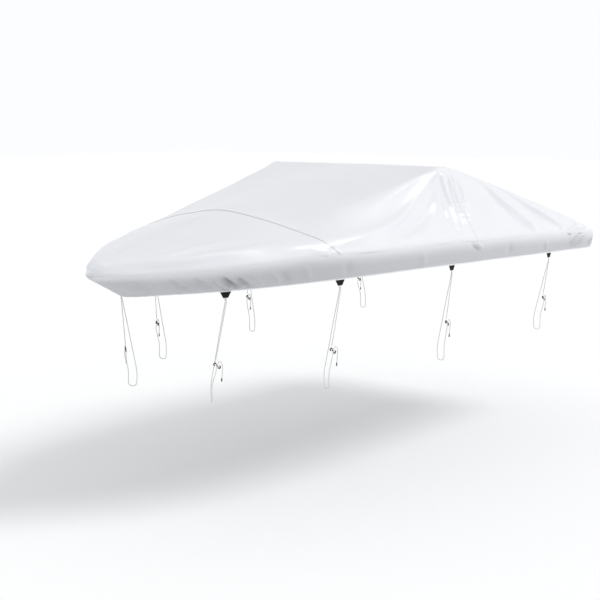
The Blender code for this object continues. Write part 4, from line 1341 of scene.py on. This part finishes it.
@dataclass
class Skirt:
    """One hanging strip: a side of the boat, or the transom."""

    node: str
    flat: tuple[float, float]
    area: float | None
    strip: Strip
    side: Side | None
    rows: int
    columns: int
    tuck: float = 0.012         # how far the top reaches up behind the panel
    tuck_in: float = SKIN + 0.0003          # how far under the panel's outer face
    emerge: float = 0.050       # depth below the panel at which it is flush with it
    hem: float = 0.028          # depth of the folded hem
    hem_proud: float = 0.0016   # how far it stands over the single cloth
    hem_step: float = 0.006     # depth over which it does so
    gap: float = 0.0009         # from the next strip, at a corner
    pucker: Pucker = Pucker(0.0012, 0.055, 0.05)

    def lines(self) -> np.ndarray:
        """Where the strip has its lines down.

        Returns:
            Places along the gunwale, or across the transom.
        """
        if self.strip is Strip.TRANSOM:
            return crowded(self.rows, 2.0, 2.0, 0.10) * 2 * PLUMB - PLUMB
        return crowded(self.rows, 1.6, 2.5, 0.10) * FORM.distance[-2]

    def tucked(self, lines: np.ndarray) -> np.ndarray:
        """Lay the margin behind the panel, on its inner face.

        Args:
            lines: Where the strip has its lines down.

        Returns:
            The margin's points, from its top down.
        """
        rise = np.array([TUCK_RISES])
        if self.strip is Strip.TRANSOM:
            place = (FORM.stern - rise * self.tuck, lines, 0.0)
        else:
            place = (lines, self.side.value * (1 - rise * TUCK_SHARE), 0.0)
        base = FORM.point(*place)
        return base + FORM.normal(*place, Strip.TOP) * (RELIEF.lift(base) - self.tuck_in)[..., None]

    def grid(self) -> tuple[np.ndarray, dict[str, np.ndarray]]:
        """Lay out the strip's outer face.

        Returns:
            Its points, by line and from the top down, and its three UV maps by name.
        """
        lines = self.lines()[:, None]
        down = crowded(self.columns, 1.0, 2.2, 0.20)[None, :]
        if self.strip is Strip.TRANSOM:
            place = (FORM.stern, lines, down)
        else:
            place = (lines, float(self.side.value), down)
        base = FORM.point(*place)
        normal = FORM.normal(*place, self.strip)
        lift = RELIEF.lift(base)
        run = arc_lengths(base, 0)
        drop = arc_lengths(base, 1)
        inwards = drop[:, -1:] - drop
        lift = lift + self.pucker.lift(run, inwards)
        over_hem = (inwards - self.hem) / self.hem_step + 0.5
        lift = lift + self.hem_proud * (1 - ramp(over_hem))
        lift = lift - self.tuck_in * (1 - ramp(drop / self.emerge))
        points = base + normal * lift[..., None]
        points = np.concatenate([self.tucked(lines), points], axis=1)
        for end, inner in ((0, 1), (-1, -2)):
            step = points[inner] - points[end]
            points[end] += step * self.gap / np.linalg.norm(step, axis=-1, keepdims=True)
        drop = arc_lengths(points, 1)
        run = np.repeat(run[:, :1], points.shape[1], axis=1)
        maps = {"UVMap": np.stack([run, drop], axis=-1),
                "edge": np.stack([run, drop[:, -1:] - drop], axis=-1),
                "rim": np.stack([run, self.tuck - drop], axis=-1)}
        return points, maps

    def build(self, finish: bpy.types.Material, inside: bpy.types.Material) -> bpy.types.Object:
        """Make the strip.

        Args:
            finish: Material of its outer face and edges.
            inside: Material of its inner face.

        Returns:
            The finished piece, riding on the body.
        """
        points, maps = self.grid()
        if self.side is Side.PORT or self.strip is Strip.TRANSOM:
            points, maps = points[:, ::-1], {name: uv[:, ::-1] for name, uv in maps.items()}
        piece = shaped_grid(self.node + "_cloth", points, maps)
        merge_doubles(piece)
        return finish_sheet(piece, self.node, finish, inside)


# ------------------------------------------------------------------ the ties

@dataclass(frozen=True)
class Tie:
    """One tie, from the bow: where its long rope's loop hangs, on either side."""

    name: str
    loop_y: float
    loop_z: float


TIES = (Tie("bow", 0.385, -1.500), Tie("fore", 0.805, -1.470),
        Tie("mid", 0.955, -1.440), Tie("aft", 0.925, -1.420))
ROPE_STEP = 0.004           # from point to point of a rope's route
TAB_SINK = 0.0012           # how far under its node's top a tab starts
TAB_SHORT = 0.004           # and how much shorter than the node it hangs
TAB_BULGE = 0.0006          # how far its layers stand apart half way down
FOLD_RADIUS = 0.0011        # of the fold at its foot
TAB_ROWS, FOLD_ROWS, TAB_COLUMNS = 12, 7, 25
KNOT_POINTS, KNOT_SIZE = 97, 0.0021
KNOT_TALL, KNOT_DEEP = 1.05, 1.15       # stretch of the knot up and outboard
KNOT_ROPE = 0.46            # the drawn-tight rope's radius, in rope diameters
CLEAT_EDGE = 0.0011         # radius of its rounded edges
CLEAT_STEP = 0.0012         # from point to point of its outline
# points round the beam's underside: share of its reach outboard, and height over the loop's foot
ROUND_BEAM = ((-1.0, 0.030), (-0.72, 0.007), (0.0, 0.0), (0.72, 0.007), (1.0, 0.030))
# points up the cleat's face, over its hook and down: aft of its middle, off its face, and up
THROUGH_CLEAT = ((-0.010, 0.0, -0.048), (-0.004, 0.0, -0.012), (0.004, 0.0, 0.014), (0.018, 0.0, 0.026),
                 (0.032, 0.0, 0.014), (0.036, 0.0, -0.014))
# half a cleat's outline, in shares of half its length and half its width; the hook's slot is open
CLEAT_HALF = ((0.30, -0.45), (0.55, -1.0), (0.90, -1.0), (1.0, -0.55), (1.0, 0.55), (0.88, 1.0), (0.45, 1.0),
              (0.45, 0.44), (0.72, 0.44), (0.76, 0.10), (0.70, -0.25), (0.45, -0.20), (0.10, 0.45))
# radius and distance from the rope, along a moulded end
ROPE_END = ((0.0034, 0.0004), (0.0036, 0.0016), (0.0046, 0.0024), (0.0046, 0.0050), (0.0037, 0.0056),
            (0.0040, 0.0120), (0.0048, 0.0200), (0.0046, 0.0228), (0.0032, 0.0242), (0.0010, 0.0246))


@dataclass
class TieDown:
    """The tab, knot, ropes, cleat and rope end of one tie on one side."""

    tie: Tie
    side: Side
    rope_d: float = 0.006
    tab_top: float = 0.074          # the tab's breadth at the hem
    tab_foot: float = 0.036         # and at its foot
    tape: float = 0.0014            # thickness of one layer of the tab
    beam_w: float = 0.050           # the beam that the long rope goes round
    beam_h: float = 0.100
    cleat_length: float = 0.056
    cleat_width: float = 0.022
    cleat_t: float = 0.005
    cleat_turn: float = math.radians(38)    # how far its aft end hangs
    tail_drop: float = 0.085        # from the cleat's middle to the end of the tail
    strand_pitch: float = 0.0045    # from the knot's middle to each rope
    touch: float = 0.0004           # left between a rope and what it meets
    knot_r: float = 0.009

    @property
    def label(self) -> str:
        """The tie's place, as the frame's nodes write it."""
        return f"{self.tie.name}_{self.side.label}"

    def centre(self, kind: str) -> np.ndarray:
        """Centre of one of the tie's nodes."""
        low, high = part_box(f"{kind}_{self.label}")
        return (np.array(low) + np.array(high)) / 2

    def directions(self) -> tuple[np.ndarray, np.ndarray]:
        """Find how the hem runs at the tie.

        Returns:
            The hem's direction aft, and the level direction outboard.
        """
        fine = np.linspace(0.0, FORM.distance[-2], 2001)
        x = self.centre("tab")[0]
        at = np.interp(x, FORM.column("hem_x", fine), fine)
        half = self.tab_top / 2
        ends = FORM.point(np.array([at - half, at + half]), float(self.side.value), 1.0)
        aft = (ends[1] - ends[0]) / np.linalg.norm(ends[1] - ends[0])
        outward = np.cross(aft, UP) * -self.side.value
        return aft, outward / np.linalg.norm(outward)

    def long_route(self) -> np.ndarray:
        """Lead the long rope down behind the beam, under it and up to the cleat.

        Returns:
            The rope's centreline, to the end of its tail.
        """
        aft, outward = self.directions()
        knot, cleat = self.centre("knot"), self.centre("cleat")
        reach = self.beam_w / 2 + self.rope_d / 2 + 0.001
        start = knot - UP * (self.knot_r + self.touch) - aft * self.strand_pitch
        loop = np.array([knot[0] - 0.012, self.side.value * self.tie.loop_y, self.tie.loop_z])
        behind = loop - outward * reach + UP * (self.beam_h + 0.02)
        front = self.cleat_t / 2 + self.rope_d / 2 + self.touch

        route = [start, start - UP * 0.012 - outward * 0.001]
        route += [start + (behind - start) * share for share in (0.35, 0.70, 1.0)]
        route += [loop + outward * out * reach + UP * high for out, high in ROUND_BEAM]
        route.append(loop + outward * (reach + 0.001) + UP * (self.beam_h + 0.02))
        tail = ((0.035, -0.002, 0.010 - self.tail_drop * 0.6), (0.031, -0.003, -self.tail_drop))
        route += [cleat + aft * along + outward * (front + out) + UP * high
                  for along, out, high in THROUGH_CLEAT + tail]
        return smooth_route(route, ROPE_STEP)

    def short_route(self) -> np.ndarray:
        """Lead the short rope from the knot to the top of the cleat.

        Returns:
            The rope's centreline.
        """
        aft, _ = self.directions()
        knot, cleat = self.centre("knot"), self.centre("cleat")
        start = knot - UP * (self.knot_r + self.touch) + aft * self.strand_pitch
        rise = 0.62 * self.cleat_length * math.sin(self.cleat_turn) + 0.012
        top = cleat + UP * rise - aft * 0.010
        return smooth_route([start, start - UP * 0.012, start + (top - start) * 0.35 + aft * 0.002,
                             start + (top - start) * 0.70 + aft * 0.002, top], ROPE_STEP)

    def adopt(self, piece: bpy.types.Object, kind: str,
              finish: bpy.types.Material) -> bpy.types.Object:
        """Dress a piece, and let it stand for its node.

        Args:
            piece: The finished mesh.
            kind: The node's name without the tie's place.
            finish: The piece's material.

        Returns:
            The piece.
        """
        piece.data.materials.clear()
        piece.data.materials.append(finish)
        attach(piece, BODY)
        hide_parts(f"{kind}_{self.label}")
        log.info("%s: %d faces", piece.name, len(piece.data.polygons))
        return piece

    def tab(self, finish: bpy.types.Material) -> bpy.types.Object:
        """Fold the tape up into a flap and sew it under the hem.

        Args:
            finish: The tape's material.

        Returns:
            The tab.
        """
        aft, outward = self.directions()
        low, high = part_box(f"tab_{self.label}")
        top = np.array([*((np.array(low) + np.array(high)) / 2)[:2], high[2] - TAB_SINK])
        drop = high[2] - low[2] - TAB_SHORT
        layer_rows = np.linspace(0.0, 1.0, TAB_ROWS)
        layers = np.concatenate([layer_rows, 1 + np.linspace(0.0, 1.0, FOLD_ROWS)[1:-1], 2 + layer_rows])
        points, uv = [], []
        for across in np.linspace(-0.5, 0.5, TAB_COLUMNS):
            line = []
            for layer in layers:
                down = min(layer, 1.0) if layer < 2 else 3 - layer
                half_turn = math.pi * np.clip(layer - 1, 0.0, 1.0)
                wide = self.tab_top + (self.tab_foot - self.tab_top) * down ** 0.9
                bulge = math.copysign(TAB_BULGE, 1.5 - layer) * math.sin(math.pi * down)
                out = FOLD_RADIUS * math.cos(half_turn) + bulge
                deep = drop * down + FOLD_RADIUS * math.sin(half_turn)
                line.append(top + aft * across * wide + outward * out - UP * deep)
            points.append(line)
            uv.append([(across * self.tab_top, layer * drop) for layer in layers])
        table, maps = np.array(points), {"UVMap": np.array(uv)}
        if self.side is Side.PORT:
            table, maps = table[:, ::-1], {"UVMap": maps["UVMap"][:, ::-1]}
        piece = shaped_grid(f"webbing_tab_{self.label}", table, maps)
        apply_modifier(piece, "SOLIDIFY", thickness=self.tape, offset=1.0)
        apply_modifier(piece, "BEVEL", width=0.0004, segments=2, limit_method="ANGLE",
                       angle_limit=math.radians(60))
        smooth_by_angle(piece, 50.0)
        self.adopt(piece, "tab", finish)
        return piece

    def knot(self, finish: bpy.types.Material) -> bpy.types.Object:
        """Tie an overhand knot, which takes in the eye through the tab's fold.

        Args:
            finish: The rope's material.

        Returns:
            The knot.
        """
        aft, outward = self.directions()
        centre = self.centre("knot")
        turns = np.linspace(0.0, 2 * math.pi, KNOT_POINTS)
        flat = np.stack([np.sin(turns) + 2 * np.sin(2 * turns), np.cos(turns) - 2 * np.cos(2 * turns),
                         -np.sin(3 * turns)], axis=1) * KNOT_SIZE
        route = (centre + flat[:, :1] * aft + flat[:, 1:2] * UP * KNOT_TALL
                 + flat[:, 2:] * outward * KNOT_DEEP)
        piece = tube(f"overhand_knot_{self.label}", route, self.rope_d * KNOT_ROPE, closed=True)
        return self.adopt(piece, "knot", finish)

    def cleat(self, finish: bpy.types.Material) -> bpy.types.Object:
        """Make the rope tightener: a flat bar with an open hook at either end.

        Args:
            finish: The plastic's material.

        Returns:
            The cleat.
        """
        aft, outward = self.directions()
        half = [(x * self.cleat_length / 2, y * self.cleat_width / 2) for x, y in CLEAT_HALF]
        outline = half + [(-x, -y) for x, y in half]
        deselect()
        curve = bpy.data.curves.new(f"cleat_outline_{self.label}", "CURVE")
        curve.dimensions = "2D"
        curve.fill_mode = "BOTH"
        curve.extrude = self.cleat_t / 2 - CLEAT_EDGE
        curve.bevel_depth = CLEAT_EDGE
        curve.bevel_resolution = 3
        curve.offset = -CLEAT_EDGE
        spline = curve.splines.new("POLY")
        ring = [np.array([x, y, 0.0]) for x, y in outline]
        ring = smooth_route(ring[-2:] + ring + ring[:2], CLEAT_STEP)
        apart = np.linalg.norm(ring - [*outline[0], 0.0], axis=1)
        middle = len(ring) // 2
        ring = ring[int(np.argmin(apart[:len(ring) // 3])):middle + int(np.argmin(apart[middle:]))]
        spline.points.add(len(ring) - 1)
        for point, place in zip(spline.points, ring):
            point.co = (*place, 1.0)
        spline.use_cyclic_u = True
        piece = bpy.data.objects.new(f"rope_cleat_{self.label}", curve)
        bpy.context.scene.collection.objects.link(piece)
        activate(piece)
        bpy.ops.object.convert(target="MESH")
        piece = bpy.context.object
        merge_doubles(piece, 0.00002)
        cos, sin = math.cos(self.cleat_turn), math.sin(self.cleat_turn)
        axes = [aft * cos - UP * sin, aft * sin + UP * cos]
        third = np.cross(*axes)
        centre = self.centre("cleat")
        matrix = Matrix([[*(axis[i] for axis in (*axes, third)), centre[i]] for i in range(3)]
                        + [[0, 0, 0, 1]])
        piece.data.transform(matrix)
        piece.data.update()
        smooth_by_angle(piece, 45.0)
        return self.adopt(piece, "cleat", finish)

    def rope_end(self, foot: np.ndarray, direction: np.ndarray,
                 finish: bpy.types.Material) -> bpy.types.Object:
        """The moulded end on the tail, turned with a collar and a round foot.

        Args:
            foot: Where the tail ends.
            direction: Which way the rope runs there.
            finish: The end's material.

        Returns:
            The piece.
        """
        profile = ROPE_END
        deselect()
        bpy.ops.mesh.primitive_circle_add(vertices=24, radius=profile[0][0], fill_type="NGON",
                                          location=(0.0, 0.0, profile[0][1]))
        piece = bpy.context.object
        bpy.ops.object.transform_apply(location=True, rotation=True, scale=True)
        bpy.ops.object.mode_set(mode="EDIT")
        bpy.ops.mesh.select_all(action="SELECT")
        for (wide, high), (wider, higher) in zip(profile, profile[1:]):
            bpy.ops.mesh.extrude_region_move(TRANSFORM_OT_translate={"value": (0.0, 0.0, higher - high)})
            bpy.ops.transform.resize(value=(wider / wide, wider / wide, 1.0))
        bpy.ops.mesh.select_all(action="SELECT")
        bpy.ops.mesh.normals_make_consistent(inside=False)
        bpy.ops.object.mode_set(mode="OBJECT")
        piece.name = f"moulded_end_{self.label}"
        turn = Vector((0.0, 0.0, 1.0)).rotation_difference(Vector(direction)).to_matrix().to_4x4()
        piece.data.transform(Matrix.Translation(foot) @ turn)
        piece.data.update()
        apply_modifier(piece, "SUBSURF", levels=1, render_levels=1)
        smooth_by_angle(piece, 60.0)
        return self.adopt(piece, "rope_end", finish)

    def build(self, finishes: dict[str, bpy.types.Material]) -> None:
        """Make the whole tie.

        Args:
            finishes: Materials of the tape, the rope and the plastic.
        """
        self.tab(finishes["tape"])
        knot = self.knot(finishes["rope"])
        cleat = self.cleat(finishes["plastic"])
        route = self.long_route()
        end = self.rope_end(route[-1], route[-1] - route[-2], finishes["plastic"])
        for kind, path, far_end, pieces in (("long_rope", route, "fitting", [end, cleat]),
                                            ("short_rope", self.short_route(), "object", [knot])):
            piece = tube(f"tie_{kind}_{self.label}", path, self.rope_d / 2)
            self.adopt(piece, kind, finishes["rope"])


# ------------------------------------------------------------------ stage

@dataclass
class Stage:
    """Camera, soft lights and a pale floor."""

    eye: tuple[float, float, float] = (-7.746, -5.796, 0.390)
    heading: tuple[float, float] = (0.7716, 0.6361)
    pitch: float = math.radians(8.76)
    lens: float = 72.0
    floor_z: float = -2.30
    floor_glow: float = 0.06
    sky_colour: tuple[float, float, float, float] = (0.972, 0.984, 1.0, 1.0)
    tent: float = 1.0               # brightness round the horizon
    overhead: float = 0.77          # and overhead
    tent_foot: float = 0.13         # heights between which it changes
    tent_top: float = 0.42
    ahead: float = 0.42             # how much dimmer it is ahead of the bow
    ahead_from: float = -0.30       # directions between which it dims
    ahead_to: float = -0.95
    key_power: float = 1.15
    key_size: float = math.radians(24)
    key_high: float = math.radians(54)
    key_aft: float = math.radians(30)
    key_colour: tuple[float, float, float] = (1.0, 0.992, 0.975)
    floor_size: float = 120.0

    def camera(self) -> None:
        """Set the camera."""
        deselect()
        data = bpy.data.cameras.new("camera")
        data.lens = self.lens
        data.sensor_width = 36.0
        data.clip_end = 200.0
        camera = bpy.data.objects.new("camera", data)
        bpy.context.scene.collection.objects.link(camera)
        flat = math.cos(self.pitch)
        look = Vector((self.heading[0] * flat, self.heading[1] * flat, -math.sin(self.pitch)))
        camera.location = self.eye
        camera.rotation_euler = look.to_track_quat("-Z", "Y").to_euler()
        bpy.context.scene.camera = camera

    def floor(self) -> None:
        """Lay the floor."""
        deselect()
        bpy.ops.mesh.primitive_plane_add(size=self.floor_size, location=(0.0, 0.0, self.floor_z))
        floor = bpy.context.object
        floor.name = "floor"
        bpy.ops.object.transform_apply(location=True, rotation=True, scale=True)
        shader = Shader("floor")
        shader.set(Base_Color=(0.93, 0.93, 0.93, 1.0), Roughness=0.95, Specular_IOR_Level=0.1,
                   Emission_Color=(1.0, 1.0, 1.0, 1.0), Emission_Strength=self.floor_glow)
        floor.data.materials.append(shader.material)

    def sky(self) -> None:
        """Hang a white studio tent round the horizon, dimmer overhead and ahead of the bow.

        The camera sees it evenly bright.
        """
        shader = Shader("studio", world=True)
        split = shader.add("ShaderNodeSeparateXYZ",
                           inputs={"Vector": shader.add("ShaderNodeTexCoord", output="Generated")})
        high = Value(shader, split.socket.node.outputs[2])
        level = shader.step(high, self.tent_top, self.tent_foot) * (self.tent - self.overhead)
        level = level + self.overhead
        level = level * (1.0 - shader.step(split, self.ahead_from, self.ahead_to) * self.ahead)
        seen = shader.add("ShaderNodeLightPath", output="Is Camera Ray")
        level = level + seen * (self.tent - level)
        shader.set(Color=self.sky_colour, Strength=level)
        bpy.context.scene.world = shader.material

    def key(self) -> None:
        """Hang the large soft key light, high to port."""
        data = bpy.data.lights.new("key", "SUN")
        data.energy = self.key_power
        data.angle = self.key_size
        data.color = self.key_colour
        lamp = bpy.data.objects.new("key", data)
        bpy.context.scene.collection.objects.link(lamp)
        level = math.cos(self.key_high)
        towards = Vector((level * math.sin(self.key_aft), -level * math.cos(self.key_aft),
                          math.sin(self.key_high)))
        lamp.rotation_euler = towards.to_track_quat("Z", "Y").to_euler()

    def build(self) -> None:
        """Set up the whole stage."""
        self.camera()
        self.floor()
        self.sky()
        self.key()
        bpy.context.scene.view_settings.view_transform = "Standard"


# ------------------------------------------------------------------ the whole cover

PANELS = (
    Panel("bow_panel", (2.09, 1.73), 1.60, 115, 160, None, FRONT_SEAM,
          Pucker(0.0, 0.05, 0.02), Pucker(0.0009, 0.060, 0.045)),
    Panel("middle_panel", (2.84, 1.72), 4.08, 190, 250, FRONT_SEAM, REAR_SEAM,
          Pucker(0.0010, 0.060, 0.040), Pucker(0.0034, 0.042, 0.055), front_lap=True, rear_lap=True),
    Panel("aft_panel", (2.84, 2.38), 5.68, 190, 240, REAR_SEAM, None,
          Pucker(0.0040, 0.042, 0.065), Pucker(0.0010, 0.080, 0.040)),
)
SKIRTS = (
    Skirt("skirt_port", (5.48, 0.36), 1.01, Strip.SIDE, Side.PORT, 520, 22),
    Skirt("skirt_starboard", (5.48, 0.36), 1.01, Strip.SIDE, Side.STARBOARD, 520, 22),
    Skirt("skirt_transom", (1.87, 0.165), None, Strip.TRANSOM, None, 160, 22),
)


def main() -> None:
    """Build the stage, the ties and the cloths, in that order."""
    logging.basicConfig(level=logging.INFO, format="%(message)s")
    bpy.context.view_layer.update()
    Stage().build()
    finishes = {"tape": Webbing().material(), "rope": Braid().material(), "plastic": Moulded().material()}
    for side in Side:
        for tie in TIES:
            TieDown(tie, side).build(finishes)
    inside = ClothInside().material()
    lapped = CoatedCloth("coated_cloth").material()
    # bow and aft panels, with a painted shadow beside the lapping edge
    lap_shadowed = CoatedCloth("coated_cloth_under_lap", rows=(), line=0.006, line_at=0.0165).material()
    # skirts, with a painted highlight along the hem
    hanging = CoatedCloth("coated_skirt", rows=(0.024,), trim=0.008).material()
    for panel in PANELS:
        panel.build(lapped if panel.front_lap else lap_shadowed, inside)
    for skirt in SKIRTS:
        skirt.build(hanging, inside)


if __name__ == "__main__":
    main()
